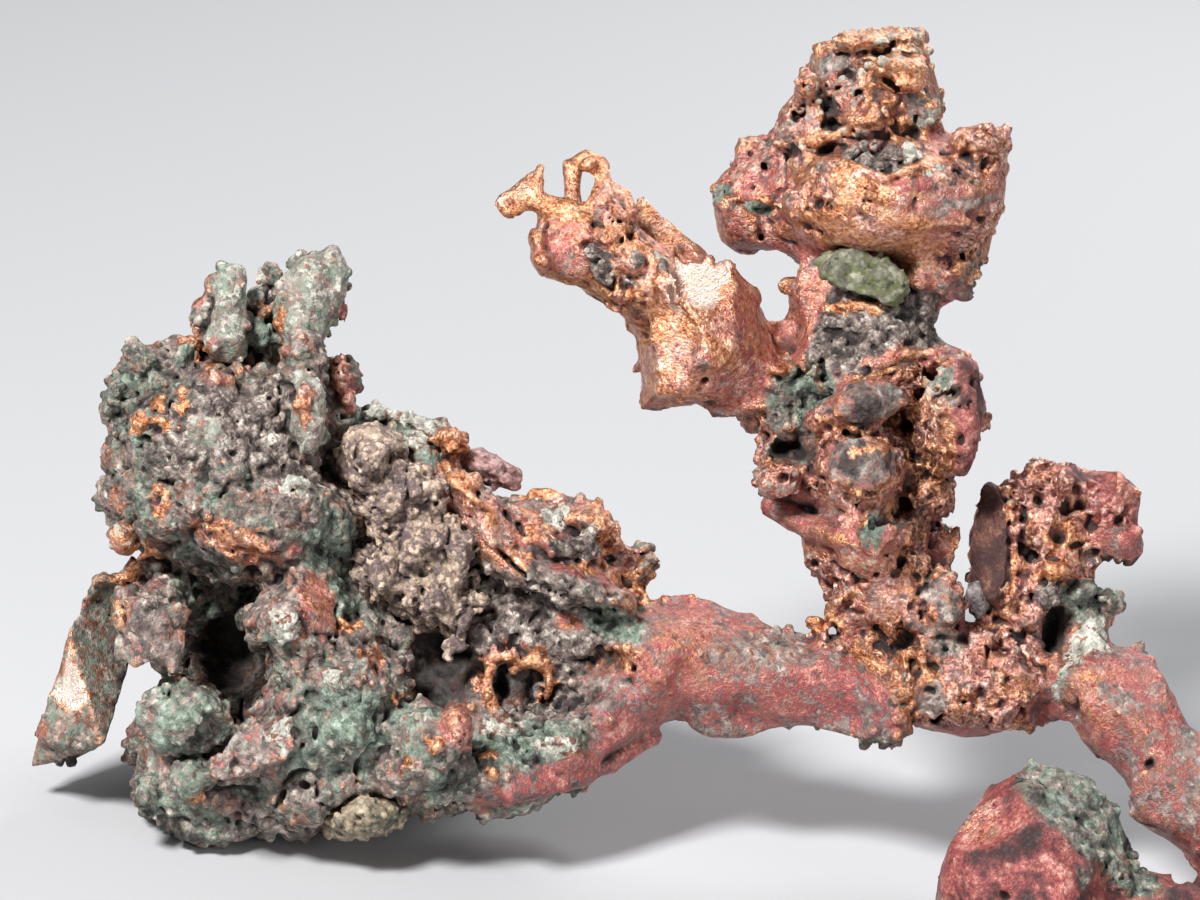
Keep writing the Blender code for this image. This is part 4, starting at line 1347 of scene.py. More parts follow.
# ---------------------------------------------------------------- crusts
def spread_amounts(body, patches, near, wanted):
    """Some channels at the cells near the surface, worked out at few cells and interpolated."""
    counts = [n // COARSE + 2 for n in body.distance.shape]
    cells = np.stack(np.meshgrid(*(np.arange(n) * COARSE for n in counts), indexing="ij"), -1)
    held = np.minimum(cells, np.array(body.distance.shape) - 1)
    close = np.abs(body.distance[tuple(np.moveaxis(held, -1, 0))]) < BAND * 0.99
    found = patches.channels((cells[close] + body.first) * body.voxel, body)
    cell = near // COARSE
    part = near / COARSE - cell
    part = (part * part * (3 - 2 * part)).astype(np.float32)
    weights = [
        (np.prod(np.where(np.array(corner), part, 1 - part), axis=1), tuple((cell + np.array(corner)).T))
        for corner in np.ndindex(2, 2, 2)
    ]
    for channel in wanted:
        amounts = np.zeros(close.shape, np.float32)
        amounts[close] = found[:, CHANNELS.index(channel)]
        yield sum(weight * amounts[place] for weight, place in weights)


def ragged_places(body, near, push):
    """Grid places pushed about by up to about push mm, for ragged edges in repeating blocks."""
    places = near + body.first
    moves = [body.ruffle[tuple(((places + 17 * k) % len(body.ruffle)).T)] for k in range(3)]
    return places + np.round(np.stack(moves, 1) * push / body.voxel).astype(int)


def add_relief(body, patches):
    """Roll the surface in and out, crack and granulate the crusts and eat pockets into the sponge."""
    near = np.argwhere(np.abs(body.distance) < RELIEF_REACH)
    points = (near + body.first) * body.voxel
    lump, grain, pit = spread_amounts(body, patches, near, ("lump", "grain", "pit"))
    middle = noise(points, *KNOBBLY)
    rolled = 2.4 * (noise(points, *ROLLING) - 0.5) + 1.2 * (middle - 0.5)
    veins = np.abs(noise(points, *VEINS) - 0.5)
    rolled += 2.2 * step(0.09, 0.0, veins) * noise(points, *VEIN_STRENGTH)
    shift = lump * rolled + (1 - lump) * 0.3 * (middle - 0.5)
    places = ragged_places(body, near, GRANULE_PUSH)
    for size, seed, height in GRANULES:
        away, own = cell_tile(body.voxel, size, seed)
        cell = tuple((places % len(away)).T)
        shift += grain * height * (1.5 * away[cell] ** 2 - 0.15 - 0.5 * own[cell])
        strong = grain > GRAINY
        body.tint[tuple(near[strong].T)] = (255 * own[cell][strong]).astype(np.uint8)
    places = ragged_places(body, near, POCKET_PUSH)
    for size, seed, depth in POCKETS:
        away, own = cell_tile(body.voxel, size, seed)
        cell = tuple((places % len(away)).T)
        hollow = np.maximum(own[cell] - 0.35, 0) / 0.65
        shift += depth * pit * step(0.66, 0.38, away[cell]) * hollow
        shift -= 0.5 * pit * step(0.45, 0.85, away[cell])
    body.distance[tuple(near.T)] += shift.astype(np.float32)


def add_knobs(body, patches, dice):
    for place, normal, draw in strewn(body, patches, "knob", KNOBS_PER_MM2, 4, dice):
        radius = 0.8 + 1.2 * draw[1] ** 2
        centre = place - normal * radius * (0.1 + 0.4 * draw[2])
        body.stamp(ball(radius), centre, radius + 1.0, blend=0.3, tint=0.3 + 0.4 * draw[3])


def add_pits(body, patches, dice):
    for place, normal, draw in strewn(body, patches, "pit", PITS_PER_MM2, 6, dice, PIT_ROOM):
        radius = 0.35 + 0.55 * draw[1] ** 2
        axes = np.array(Euler(tuple(6.3 * draw[3:6])).to_matrix())
        radii = (radius, radius * (0.6 + 0.5 * draw[2]), radius * 1.7)
        centre = place - normal * radius * 0.4
        body.stamp(ellipsoid(radii, axes), centre, radius * 1.7 + 0.8, cut=True, ruffled=1.3)


def add_grains(body, patches, dice):
    for place, normal, draw in strewn(body, patches, "grain", GRAINS_PER_MM2, 4, dice):
        radius = 0.45 + 0.5 * draw[1] ** 2
        centre = place + normal * radius * (0.5 * draw[2] - 0.05)
        body.stamp(ball(radius), centre, radius + 0.7, tint=0.1 + 0.8 * draw[3])


# ---------------------------------------------------------------- parting and meshing
def grid_points(body, low, high):
    """Broadcast coordinates in mm of a window of the grid."""
    x, y, z = ((np.arange(low[k], high[k]) + body.first[k]) * body.voxel for k in range(3))
    return x[:, None, None], y[None, :, None], z[None, None, :]


def fork_distance(body, cell):
    """Distance to a fork's block, negative inside, all over the grid."""
    cx, cy, cz, hx, hy, hz, tilt, turn = cell
    centre = to_world((cx, cy, cz))
    x, y, z = grid_points(body, (0, 0, 0), body.distance.shape)
    shape = block((hx, hy, hz), tilt_axes(tilt, turn), 0.0)
    return shape(x - centre[0], y - centre[1], z - centre[2]).astype(np.float32)


def part_branches(body):
    """Distances of each branch by name; each reaches a little way into its neighbours."""
    outside_all = np.full(body.distance.shape, -100.0, np.float32)
    for name, cell in FORKS:
        inside = fork_distance(body, cell)
        own = np.maximum(inside, outside_all)
        outside_all = np.maximum(outside_all, -inside)
        yield name, own
    yield "junction", outside_all


def within(body, cell):
    sunk = body.distance + INSET * np.clip(cell, 0, OVERLAP)
    return np.maximum(sunk, cell - OVERLAP)


def connected(points, triangles, quads):
    """The same mesh without its small loose bits."""
    label = np.arange(len(points))
    while True:
        before = label.copy()
        for faces in (triangles, quads):
            least = label[faces].min(axis=1)
            for corner in range(faces.shape[1]):
                np.minimum.at(label, faces[:, corner], least)
        label = label[label]
        if (label == before).all():
            break
    sizes = np.bincount(label, minlength=len(points))
    kept = sizes[label] >= SMALLEST_CRUMB
    place = np.cumsum(kept) - 1
    return points[kept], place[triangles[kept[triangles[:, 0]]]], place[quads[kept[quads[:, 0]]]]


def new_piece(name, points, triangles, quads):
    mesh = bpy.data.meshes.new(name)
    mesh.vertices.add(len(points))
    mesh.vertices.foreach_set("co", (points * MM).astype(np.float32).ravel())
    corners = np.concatenate((quads.ravel(), triangles.ravel())).astype(np.int32)
    totals = np.concatenate((np.full(len(quads), 4), np.full(len(triangles), 3))).astype(np.int32)
    mesh.loops.add(len(corners))
    mesh.loops.foreach_set("vertex_index", corners)
    mesh.polygons.add(len(totals))
    mesh.polygons.foreach_set("loop_start", (np.cumsum(totals) - totals).astype(np.int32))
    mesh.polygons.foreach_set("loop_total", totals)
    mesh.polygons.foreach_set("use_smooth", np.ones(len(totals), bool))
    mesh.update(calc_edges=True)
    mesh.validate()
    piece = bpy.data.objects.new(name, mesh)
    bpy.context.scene.collection.objects.link(piece)
    return piece


def set_attribute(piece, name, values):
    attribute = piece.data.attributes.new(name, "FLOAT", "POINT")
    attribute.data.foreach_set("value", values.astype(np.float32))


def dress(piece, body, points, patches, fine, wide):
    """Store the colour channels, the tint and two measures of how sunken each point is."""
    found = patches.channels(points, body)
    for index, channel in enumerate(CHANNELS):
        if channel not in SHAPING_ONLY:
            set_attribute(piece, channel, found[:, index])
    set_attribute(piece, "tint", body.sample(body.tint, points) / 255)
    set_attribute(piece, "crevice", body.sample(fine, points))
    set_attribute(piece, "recess", body.sample(wide, points))
    # how far each point faces up, which lifts a painted highlight on upward tips
    normals = np.zeros(3 * len(points), np.float32)
    piece.data.vertices.foreach_get("normal", normals)
    set_attribute(piece, "upward", normals[2::3])


# ---------------------------------------------------------------- node materials
# Colour ramps of the copper: where a stop lies from 0 to 1, and its colour
BROWNS = (
    (0.1, (0.07, 0.028, 0.022)),
    (0.5, (0.20, 0.078, 0.052)),
    (0.9, (0.40, 0.19, 0.13)),
)
REDS = (
    (0.08, (0.080, 0.014, 0.022)),
    (0.36, (0.23, 0.045, 0.050)),
    (0.62, (0.40, 0.110, 0.092)),
    (0.92, (0.66, 0.35, 0.29)),
)
ORANGES = (
    (0.10, (0.17, 0.052, 0.024)),
    (0.35, (0.50, 0.190, 0.085)),
    (0.62, (0.74, 0.360, 0.190)),
    (0.92, (0.96, 0.68, 0.48)),
)
SALMONS = (
    (0.10, (0.15, 0.046, 0.044)),
    (0.36, (0.48, 0.190, 0.150)),
    (0.64, (0.70, 0.380, 0.300)),
    (0.92, (0.94, 0.74, 0.65)),
)
GREYS = (
    (0.05, (0.040, 0.026, 0.024)),
    (0.34, (0.150, 0.108, 0.096)),
    (0.62, (0.36, 0.290, 0.250)),
    (0.92, (0.80, 0.71, 0.61)),
)
GREENS = (
    (0.08, (0.030, 0.042, 0.032)),
    (0.36, (0.115, 0.142, 0.108)),
    (0.62, (0.265, 0.335, 0.262)),
    (0.92, (0.56, 0.66, 0.57)),
)
PALES = (
    (0.1, (0.24, 0.24, 0.20)),
    (0.5, (0.52, 0.51, 0.43)),
    (0.9, (0.86, 0.84, 0.75)),
)
LILAC_FILM = (0.27, 0.215, 0.200)
# near-white copper of the painted highlights
PAINTED_HIGHLIGHT = (0.90, 0.71, 0.62)
# near-black for the crust's dark tone and for painted shade in hollows and deep holes
DARK_TONE_AND_SHADE = (0.022, 0.016, 0.015)
# painted shade in pores and between grains, then in the hollows
PORE_SHADE = (0.025, 0.018, 0.015)
HOLLOW_SHADE = (0.012, 0.008, 0.007)
# painted shade in the stones' crevices and between their grains
STONE_SHADE = (0.02, 0.016, 0.014)


class Nodes:
    """Short names for the nodes of one material."""

    def __init__(self, name):
        self.material = bpy.data.materials.new(name)
        self.material.use_nodes = True
        self.tree = self.material.node_tree
        self.shader = self.tree.nodes["Principled BSDF"]
        self.place = self.new("ShaderNodeTexCoord").outputs["Object"]

    def new(self, kind, **settings):
        node = self.tree.nodes.new(kind)
        for key, value in settings.items():
            setattr(node, key, value)
        return node

    def feed(self, socket, value):
        if isinstance(value, bpy.types.NodeSocket):
            self.tree.links.new(value, socket)
        else:
            socket.default_value = value

    def math(self, operation, *values, clamp=False):
        node = self.new("ShaderNodeMath", operation=operation, use_clamp=clamp)
        for socket, value in zip(node.inputs, values):
            self.feed(socket, value)
        return node.outputs[0]

    def times(self, *values, clamp=False):
        return self.math("MULTIPLY", *values, clamp=clamp)

    def line(self, value, slope, start, clamp=False):
        """value * slope + start"""
        return self.math("MULTIPLY_ADD", value, slope, start, clamp=clamp)

    def minus(self, *values, clamp=False):
        return self.math("SUBTRACT", *values, clamp=clamp)

    def most(self, *values):
        return reduce(lambda first, second: self.math("MAXIMUM", first, second), values)

    def attribute(self, name):
        return self.new("ShaderNodeAttribute", attribute_name=name).outputs["Fac"]

    def noise(self, size, detail=2.0, roughness=0.6, kind="FBM"):
        """Noise about 0.5 whose lumps are about size mm wide."""
        node = self.new("ShaderNodeTexNoise", noise_type=kind)
        self.feed(node.inputs["Vector"], self.place)
        node.inputs["Scale"].default_value = 1 / (size * MM)
        node.inputs["Detail"].default_value = detail
        node.inputs["Roughness"].default_value = roughness
        return node.outputs["Fac"]

    def cells(self, size):
        """Irregular cells: how far from the cell's middle, and two numbers for each cell."""
        bent = self.new("ShaderNodeTexNoise")
        self.feed(bent.inputs["Vector"], self.place)
        bent.inputs["Scale"].default_value = 1 / (size * MM)
        moved = self.new("ShaderNodeVectorMath", operation="MULTIPLY_ADD")
        self.feed(moved.inputs[0], bent.outputs["Color"])
        moved.inputs[1].default_value = (size * MM,) * 3
        self.feed(moved.inputs[2], self.place)
        node = self.new("ShaderNodeTexVoronoi")
        self.feed(node.inputs["Vector"], moved.outputs[0])
        node.inputs["Scale"].default_value = 1 / (size * MM)
        parts = self.new("ShaderNodeSeparateColor")
        self.feed(parts.inputs[0], node.outputs["Color"])
        return node.outputs["Distance"], parts.outputs[0], parts.outputs[1]

    def weigh(self, gain, *parts):
        """Several values weighed together and spread out round the middle."""
        total = 0.5 - 0.5 * gain * sum(weight for _, weight in parts)
        for value, weight in parts:
            total = self.line(value, gain * weight, total)
        return self.math("MINIMUM", total, 1.0, clamp=True)

    def spread(self, value):
        """Noise spread out to fill 0 to 1 nearly evenly."""
        return self.line(value, 2.6, -0.8, clamp=True)

    def ramp(self, value, *stops):
        node = self.new("ShaderNodeValToRGB")
        self.feed(node.inputs["Fac"], value)
        elements = node.color_ramp.elements
        while len(elements) < len(stops):
            elements.new(1.0)
        for element, (position, colour) in zip(elements, stops):
            element.position = position
            element.color = (*colour, 1.0)
        return node.outputs["Color"]

    def mix(self, share, first, second):
        node = self.new("ShaderNodeMix", data_type="RGBA")
        self.feed(node.inputs[0], share)
        for socket, value in ((node.inputs[6], first), (node.inputs[7], second)):
            self.feed(socket, value if isinstance(value, bpy.types.NodeSocket) else (*value, 1.0))
        return node.outputs[2]

    def edge(self, amount, grain, width=0.12):
        """A share with a ragged edge: 1 where the amount is above the grain."""
        over = self.minus(amount, grain)
        return self.line(over, 1 / width, 0.5, clamp=True)

    def blend(self, share, low, high):
        """A number that goes from low to high."""
        return self.line(share, high - low, low)

    def bump(self, height):
        """Fine relief of a height in mm."""
        node = self.new("ShaderNodeBump")
        node.inputs["Strength"].default_value = 1.0
        node.inputs["Distance"].default_value = MM
        self.feed(node.inputs["Height"], height)
        self.feed(self.shader.inputs["Normal"], node.outputs["Normal"])


class CopperNodes(Nodes):
    """The noises and measures that the parts of the copper's material share."""

    def __init__(self, name):
        super().__init__(name)
        self.speck = self.spread(self.noise(0.6, 3.0, 0.6))
        self.blot = self.spread(self.noise(2.4, 6.0, 0.7))
        self.cloud = self.spread(self.noise(6.0, 6.0, 0.65))
        self.other = self.spread(self.noise(1.3, 5.0, 0.7))
        self.crumb = self.noise(0.9, 4.0, 0.7, "RIDGED_MULTIFRACTAL")
        self.away, self.first, self.second = self.cells(0.85)
        self.tint = self.attribute("tint")
        self.grain = self.attribute("grain")
        self.rough_ground = self.most(self.grain, self.attribute("pit"))
        # how far a point stands out or sits in a hollow: hollows get patina and painted shade, tips get
        # rubbed metal and a painted highlight
        crevice = self.attribute("crevice")
        wide = self.times(self.minus(self.attribute("recess"), 0.57), 2.4)
        self.raised = self.times(self.minus(0.47, crevice), 6.0, clamp=True)
        self.sunken = self.line(self.minus(crevice, 0.53), 5.0, wide, clamp=True)

    def amount(self, channel, slope):
        """A channel's amount, raised by up to the slope in the hollows."""
        return self.line(self.sunken, slope, self.attribute(channel))


def tarnished(n):
    """Brown metal and tarnished red with a lilac film."""
    browns = n.ramp(n.other, *BROWNS)
    reds = n.ramp(n.weigh(1.4, (n.cloud, 0.45), (n.blot, 0.4), (n.speck, 0.15)), *REDS)
    film = n.weigh(1.4, (n.cloud, 0.25), (n.blot, 0.5), (n.speck, 0.25))
    film = n.edge(n.attribute("grey"), film, 0.25)
    reds = n.mix(n.times(film, 0.7), reds, LILAC_FILM)
    scattered = n.weigh(1.3, (n.cloud, 0.6), (n.other, 0.4))
    return n.mix(n.edge(n.attribute("red"), scattered, 0.3), browns, reds)


def rubbed(n):
    """Orange and salmon metal, as on what stands out."""
    lit = n.weigh(1.4, (n.other, 0.45), (n.blot, 0.3), (n.speck, 0.25))
    pink = n.edge(n.times(n.attribute("red"), 0.75), n.cloud, 0.4)
    return n.mix(pink, n.ramp(lit, *ORANGES), n.ramp(lit, *SALMONS))


def bare_metal(n):
    """The metal's colour with painted highlights on the brightest faces, and the share of it that is rubbed.
    """
    gold = n.line(n.raised, n.blend(n.attribute("pit"), 0.35, 0.8), n.attribute("gold"))
    gold = n.line(n.sunken, -0.8, gold)
    scattered = n.weigh(1.5, (n.blot, 0.4), (n.cloud, 0.2), (n.first, 0.2), (n.speck, 0.2))
    gold = n.edge(gold, scattered, 0.2)
    metal = n.mix(gold, tarnished(n), rubbed(n))
    # painted highlight: faces whose gold is above 1 are mixed towards near-white copper
    highlight = n.times(n.minus(n.attribute("gold"), 1.0), 2.0, clamp=True)
    highlight = n.times(highlight, n.edge(0.85, n.weigh(1.4, (n.speck, 0.4), (n.blot, 0.6)), 0.3))
    return n.mix(n.times(highlight, 0.9), metal, PAINTED_HIGHLIGHT), gold


def crust_colours(n):
    """Grey-lilac grains, green dust and pale bits."""
    greys = n.ramp(n.weigh(1.5, (n.other, 0.25), (n.tint, 0.45), (n.first, 0.3)), *GREYS)
    mixed = n.weigh(1.4, (n.cloud, 0.3), (n.other, 0.3), (n.tint, 0.2), (n.second, 0.2))
    return greys, n.ramp(mixed, *GREENS), n.ramp(n.other, *PALES)


def crusted(n, metal):
    """The metal under its crusts, dark tone and painted shade, and the share of it that they hide."""
    greys, greens, pales = crust_colours(n)
    scattered = n.weigh(1.5, (n.cloud, 0.2), (n.blot, 0.4), (n.first, 0.2), (n.tint, 0.2))
    grey = n.edge(n.amount("grey", 0.15), scattered, 0.2)
    spots = n.spread(n.noise(3.1, 5.0, 0.7))
    scattered = n.weigh(1.5, (spots, 0.5), (n.other, 0.25), (n.second, 0.25))
    green = n.edge(n.amount("green", 0.1), scattered, 0.3)
    upward = n.most(n.attribute("upward"), 0.0)
    # pale crust, plus a painted highlight on raised tips that face up
    pale_and_top_highlight = n.line(n.times(upward, n.raised), 0.28, n.attribute("pale"))
    scattered = n.weigh(1.5, (n.other, 0.4), (n.blot, 0.3), (n.second, 0.3))
    pale = n.edge(n.line(n.sunken, -0.4, pale_and_top_highlight), n.math("ADD", scattered, 0.10), 0.15)
    # dark tone of the crust, raised in the hollows as painted shade
    dark = n.edge(n.amount("dark", 0.5), n.math("ADD", n.cloud, 0.1), 0.4)
    colour = n.mix(grey, metal, greys)
    colour = n.mix(green, colour, greens)
    colour = n.mix(pale, colour, pales)
    colour = n.mix(n.times(dark, 0.85), colour, DARK_TONE_AND_SHADE)
    return colour, n.most(grey, green, pale, dark)


def pore_and_hollow_shade(n, colour):
    """Painted shade: darker in pores, between grains and in the hollows."""
    pore_shade = n.edge(0.28, n.line(n.crumb, 0.3, n.times(n.speck, 0.6)), 0.3)
    pore_shade = n.most(pore_shade, n.times(n.minus(n.away, 0.5), 2.5, clamp=True))
    pore_shade = n.times(n.times(pore_shade, n.rough_ground), 0.75)
    colour = n.mix(pore_shade, colour, PORE_SHADE)
    return n.mix(n.times(n.sunken, 0.9), colour, HOLLOW_SHADE)


def copper_material(name):
    n = CopperNodes(name)
    metal, gold = bare_metal(n)
    colour, crust = crusted(n, metal)
    bare = n.minus(1.0, n.most(crust, n.sunken), clamp=True)
    n.feed(n.shader.inputs["Base Color"], pore_and_hollow_shade(n, colour))
    n.feed(n.shader.inputs["Metallic"], n.times(bare, n.blend(gold, 0.3, 0.8)))
    n.feed(n.shader.inputs["Roughness"], n.line(n.speck, 0.2, n.blend(bare, 0.66, 0.27)))
    n.shader.inputs["Specular IOR Level"].default_value = 0.45
    height = n.line(n.speck, 0.12, n.times(n.noise(0.3, 3.0), 0.08))
    height = n.line(n.times(n.crumb, n.rough_ground), 0.08, height)
    n.bump(n.line(n.times(n.away, n.grain), -0.30, height))
    return n.material


def stone_material(name, dark, middle, light, moss, mossy, crumbly):
    n = Nodes(name)
    speck = n.spread(n.noise(0.5, 4.0))
    blot = n.spread(n.noise(2.2, 4.0))
    away, first, second = n.cells(0.8)
    mottled = n.weigh(1.5, (n.attribute("tint"), 0.3), (first, 0.25), (blot, 0.25), (speck, 0.2))
    colour = n.ramp(mottled, (0.05, dark), (0.45, middle), (0.92, light))
    stained = n.weigh(1.5, (n.spread(n.noise(4.5, 4.0)), 0.6), (second, 0.4))
    colour = n.mix(n.times(n.edge(mossy, stained, 0.2), 0.85), colour, moss)
    # painted shade between the grains and in the crevices
    pore_shade = n.times(n.minus(away, 0.5), 1.6 * crumbly, clamp=True)
    sunken = n.times(n.minus(n.attribute("crevice"), 0.52), 5.0, clamp=True)
    colour = n.mix(n.times(n.most(sunken, pore_shade), 0.85), colour, STONE_SHADE)
    n.feed(n.shader.inputs["Base Color"], colour)
    n.feed(n.shader.inputs["Roughness"], n.blend(blot, 0.7, 0.95))
    n.bump(n.line(away, -0.24 * crumbly, n.times(speck, 0.1)))
    return n.material


# ---------------------------------------------------------------- building
HEAD_CUTS = (36.0, 50.0, 66.0)  # mm along the growth frame's x, where the head's skin is divided
FINE_REACH = 0.8  # mm, for small cracks and pits
WIDE_REACH = 3.0  # mm, for wide hollows
MANY = 9999  # rows of random numbers, more than a stone has chips or grains


def build_patches(base):
    patches = Patches()
    for centre, halves, *kinds in REGIONS:
        patches.add(to_world(centre), halves, STANCE, kinds, REGION_RAGGEDNESS)
    for px, py, width, height, tilt, kind in PATCHES:
        halves = np.array((width * PIXEL, 0.0, height * PIXEL))
        halves[1] = 0.8 * halves.max() + 2.0
        patches.add(base.at(px, py), halves, tilt_axes(tilt), (kind, kind), PATCH_RAGGEDNESS)
    return patches


def occupancy(body, radius):
    """Share of a small cube round each cell that the body fills."""
    cells = max(1, int(round(radius / body.voxel)))
    filled = np.clip(0.5 - body.distance / body.voxel, 0, 1).astype(np.float32)
    for axis in range(3):
        filled = box_blur(filled, cells, axis)
    return filled


def keep_in_box(body):
    """Cut the body raggedly just inside the box, and flat underneath."""
    rows = [(np.arange(n) + f) % len(body.ruffle) for n, f in zip(body.distance.shape, body.first)]
    ragged = np.maximum(0.5 + 1.3 * body.ruffle[np.ix_(*rows)], 0)
    for axis, place in enumerate(grid_points(body, (0, 0, 0), body.distance.shape)):
        under = 0 if axis == 2 else ragged
        np.maximum(body.distance, BOX_LOW[axis] + under - place, out=body.distance)
        np.maximum(body.distance, place - BOX_HIGH[axis] + ragged, out=body.distance)


def sculpted_copper():
    dice = np.random.default_rng(SEED)
    points, triangles, quads = fused_copper()
    base = BaseSurface(points, quads)
    patches = build_patches(base)
    body = Sculpture(points, triangles, quads, VOXEL)
    body.soften(*SOFTENING)
    add_forms(body, base)
    add_facets(body, patches, dice)
    add_spars(body, base)
    add_relief(body, patches)
    add_knobs(body, patches, dice)
    add_faces(body, base)
    add_hollows(body, base)
    add_pits(body, patches, dice)
    add_grains(body, patches, dice)
    return body, patches


def head_parts(body, cell):
    """The head's cell divided across, so that no piece is too heavy."""
    places = grid_points(body, (0, 0, 0), body.distance.shape)
    x, y, z = (place - origin for place, origin in zip(places, GROWTH_ORIGIN))
    across = STANCE[0, 0] * x + STANCE[1, 0] * y + STANCE[2, 0] * z
    edges = (-FAR, *HEAD_CUTS, FAR)
    for left, right in zip(edges, edges[1:]):
        yield np.maximum(cell, np.maximum(left - across, across - right).astype(np.float32))


def build_copper():
    body, patches = sculpted_copper()
    keep_in_box(body)
    fine, wide = occupancy(body, FINE_REACH), occupancy(body, WIDE_REACH)
    material = copper_material("copper_skin")
    for name, cell in part_branches(body):
        cells = head_parts(body, cell) if name == "knobbly_head" else (cell,)
        for count, part in enumerate(cells):
            found, triangles, quads = connected(*body.surface(within(body, part), ADAPTIVITY))
            piece = new_piece(f"{name}_skin_{count}", found, triangles, quads)
            dress(piece, body, found, patches, fine, wide)
            piece.data.materials.append(material)
            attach(piece, "root")
            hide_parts(name)


STONE_SKINS = {
    # relief in mm, grains for each mm2, mm shaved off in front and slot, then dark, middle and light
    # colour, a stain, its share and how crumbly the stone is
    "matrix_rock": (
        *(1.3, 0.35, 0.0, "tan_rock"),
        *((0.055, 0.040, 0.034), (0.335, 0.240, 0.180), (0.80, 0.62, 0.47), (0.125, 0.084, 0.092), 0.40, 1.0),
    ),
    "pink_stone": (
        *(0.4, 0.15, 0.0, "pink_rock"),
        *((0.11, 0.055, 0.055), (0.35, 0.19, 0.175), (0.62, 0.43, 0.40), (0.17, 0.09, 0.10), 0.25, 0.9),
    ),
    "tan_stone": (
        *(0.6, 0.5, 0.6, "tan_rock"),
        *((0.06, 0.045, 0.03), (0.28, 0.215, 0.145), (0.54, 0.45, 0.33), (0.10, 0.11, 0.08), 0.3, 0.6),
    ),
    "green_stone": (
        *(0.4, 0.1, 1.8, "green_rock"),
        *((0.035, 0.035, 0.024), (0.16, 0.155, 0.110), (0.36, 0.34, 0.25), (0.110, 0.125, 0.040), 0.42, 0.4),
    ),
    "grey_stone": (
        *(0.3, 0.1, 0.0, "grey_rock"),
        *((0.06, 0.05, 0.053), (0.21, 0.178, 0.180), (0.42, 0.36, 0.36), (0.10, 0.08, 0.09), 0.3, 0.8),
    ),
}


def stone_relief(body, near, relief):
    """How far in mm the cells near a stone's surface are rolled in and out."""
    places = (near + body.first) * body.voxel
    rolling = 1.6 * (noise(places, *STONE_ROLLING) - 0.5)
    rolled = relief * (rolling + 0.9 * (noise(places, *STONE_KNOBBLY) - 0.5))
    rolled += relief * step(0.07, 0.0, np.abs(noise(places, *STONE_VEINS) - 0.5))
    coarse = 1.3 * step(0.35, 0.65, noise(places, *STONE_CRUMBLY))
    for size, seed, height in GRANULES:
        away, own = cell_tile(STONE_VOXEL, size, seed)
        cell = tuple((ragged_places(body, near, GRANULE_PUSH) % len(away)).T)
        rolled += relief * coarse * height * (1.5 * away[cell] ** 2 - 0.3 - 0.5 * own[cell])
    return rolled.astype(np.float32)


def sculpted_stone(name, relief, density, shaved, dice):
    """A stone's solid with relief, chips and grains."""
    points, triangles = plain_mesh([name])
    body = Sculpture(points, triangles, None, STONE_VOXEL)
    body.soften(*STONE_SOFTENING)
    if shaved:
        toward = STANCE @ (0.0, -1.0, 0.0)
        height = (points @ toward).max() - points.mean(0) @ toward - shaved
        body.stamp(beyond_plane(toward, -height, 30.0), points.mean(0), 12.0, cut=True, blend=0.6)
    near = np.argwhere(np.abs(body.distance) < STONE_RELIEF_REACH)
    rolled = stone_relief(body, near, relief)
    found, _, quads = body.surface()
    for place, normal, draw in zip(*scatter(found, quads, CHIPS_PER_MM2, dice), dice.random((MANY, 4))):
        plane = beyond_plane(leant(normal, 0.5, draw[:3]), 0.2 + 0.5 * draw[3], CHIP_REACH)
        body.stamp(plane, place, CHIP_REACH, cut=True)
    body.distance[tuple(near.T)] += rolled
    found, _, quads = body.surface()
    for place, normal, draw in zip(*scatter(found, quads, density, dice), dice.random((MANY, 3))):
        radius = 0.3 + 0.4 * draw[0] ** 2
        body.stamp(ball(radius), place + normal * radius * 0.3 * draw[1], radius + 0.6, tint=draw[2])
    keep_in_box(body)
    return body


def build_stones():
    for index, (name, row) in enumerate(STONE_SKINS.items()):
        relief, density, shaved, slot, *colours = row
        dice = np.random.default_rng(SEED + index + 1)
        body = sculpted_stone(name, relief, density, shaved, dice)
        found, triangles, quads = connected(*body.surface(adaptivity=ADAPTIVITY))
        piece = new_piece(name + "_skin", found, triangles, quads)
        set_attribute(piece, "tint", body.sample(body.tint, found) / 255)
        set_attribute(piece, "crevice", body.sample(occupancy(body, FINE_REACH), found))
        piece.data.materials.append(stone_material(name + "_skin", *colours))
        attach(piece, "root")
        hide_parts(name)


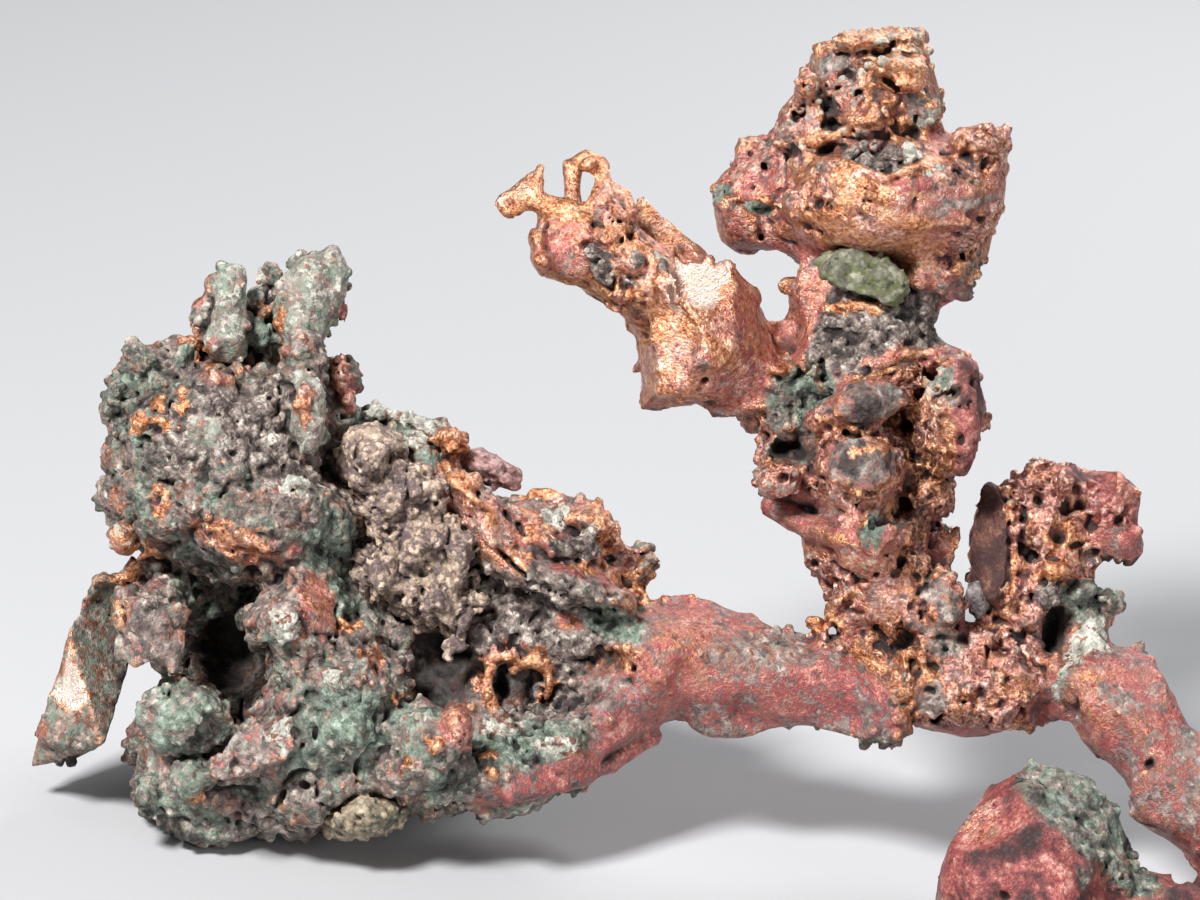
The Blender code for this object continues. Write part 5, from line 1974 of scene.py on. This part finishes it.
# ---------------------------------------------------------------- stage, lights and camera
FLOOR_REACH = 4  # m from the middle to each edge

# Lights: name, place in m, height in m of the point that they aim at, power in W and size in m
LIGHTS = (
    ("key", (-0.40, -0.50, 0.70), 0.06, 15, 0.18),
    ("fill", (0.75, -0.65, 0.30), 0.05, 3, 0.5),
    ("back", (0.25, 0.55, 0.50), 0.06, 4, 0.4),
)


def build_stage():
    mesh = bpy.data.meshes.new("floor")
    corners = [(x * FLOOR_REACH, y * FLOOR_REACH, 0) for x, y in ((-1, -1), (1, -1), (1, 1), (-1, 1))]
    mesh.from_pydata(corners, [], [(0, 1, 2, 3)])
    floor = bpy.data.objects.new("floor", mesh)
    bpy.context.scene.collection.objects.link(floor)
    n = Nodes("pale_floor")
    n.shader.inputs["Base Color"].default_value = (0.47, 0.47, 0.48, 1)
    n.shader.inputs["Roughness"].default_value = 0.9
    mesh.materials.append(n.material)


def build_lights():
    for name, place, aim, power, size in LIGHTS:
        light = bpy.data.lights.new(name, "AREA")
        light.energy = power
        light.size = size
        lamp = bpy.data.objects.new(name, light)
        bpy.context.scene.collection.objects.link(lamp)
        lamp.location = place
        away = Vector((0, 0, aim)) - Vector(place)
        lamp.rotation_euler = away.to_track_quat("-Z", "Y").to_euler()
    world = bpy.data.worlds.new("studio")
    world.use_nodes = True
    world.node_tree.nodes["Background"].inputs["Color"].default_value = (0.85, 0.92, 1.0, 1)
    world.node_tree.nodes["Background"].inputs["Strength"].default_value = 0.16
    bpy.context.scene.world = world
    bpy.context.scene.view_settings.view_transform = "Standard"


def build_camera():
    data = bpy.data.cameras.new("camera")
    data.lens = 180
    data.sensor_width = 36
    data.clip_end = 10
    camera = bpy.data.objects.new("camera", data)
    bpy.context.scene.collection.objects.link(camera)
    camera.location = to_world(EYE) * MM
    camera.rotation_euler = (STANCE_MATRIX @ Euler((math.pi / 2, 0, 0)).to_matrix()).to_euler()
    bpy.context.scene.camera = camera


build_copper()
build_stones()
build_stage()
build_lights()
build_camera()
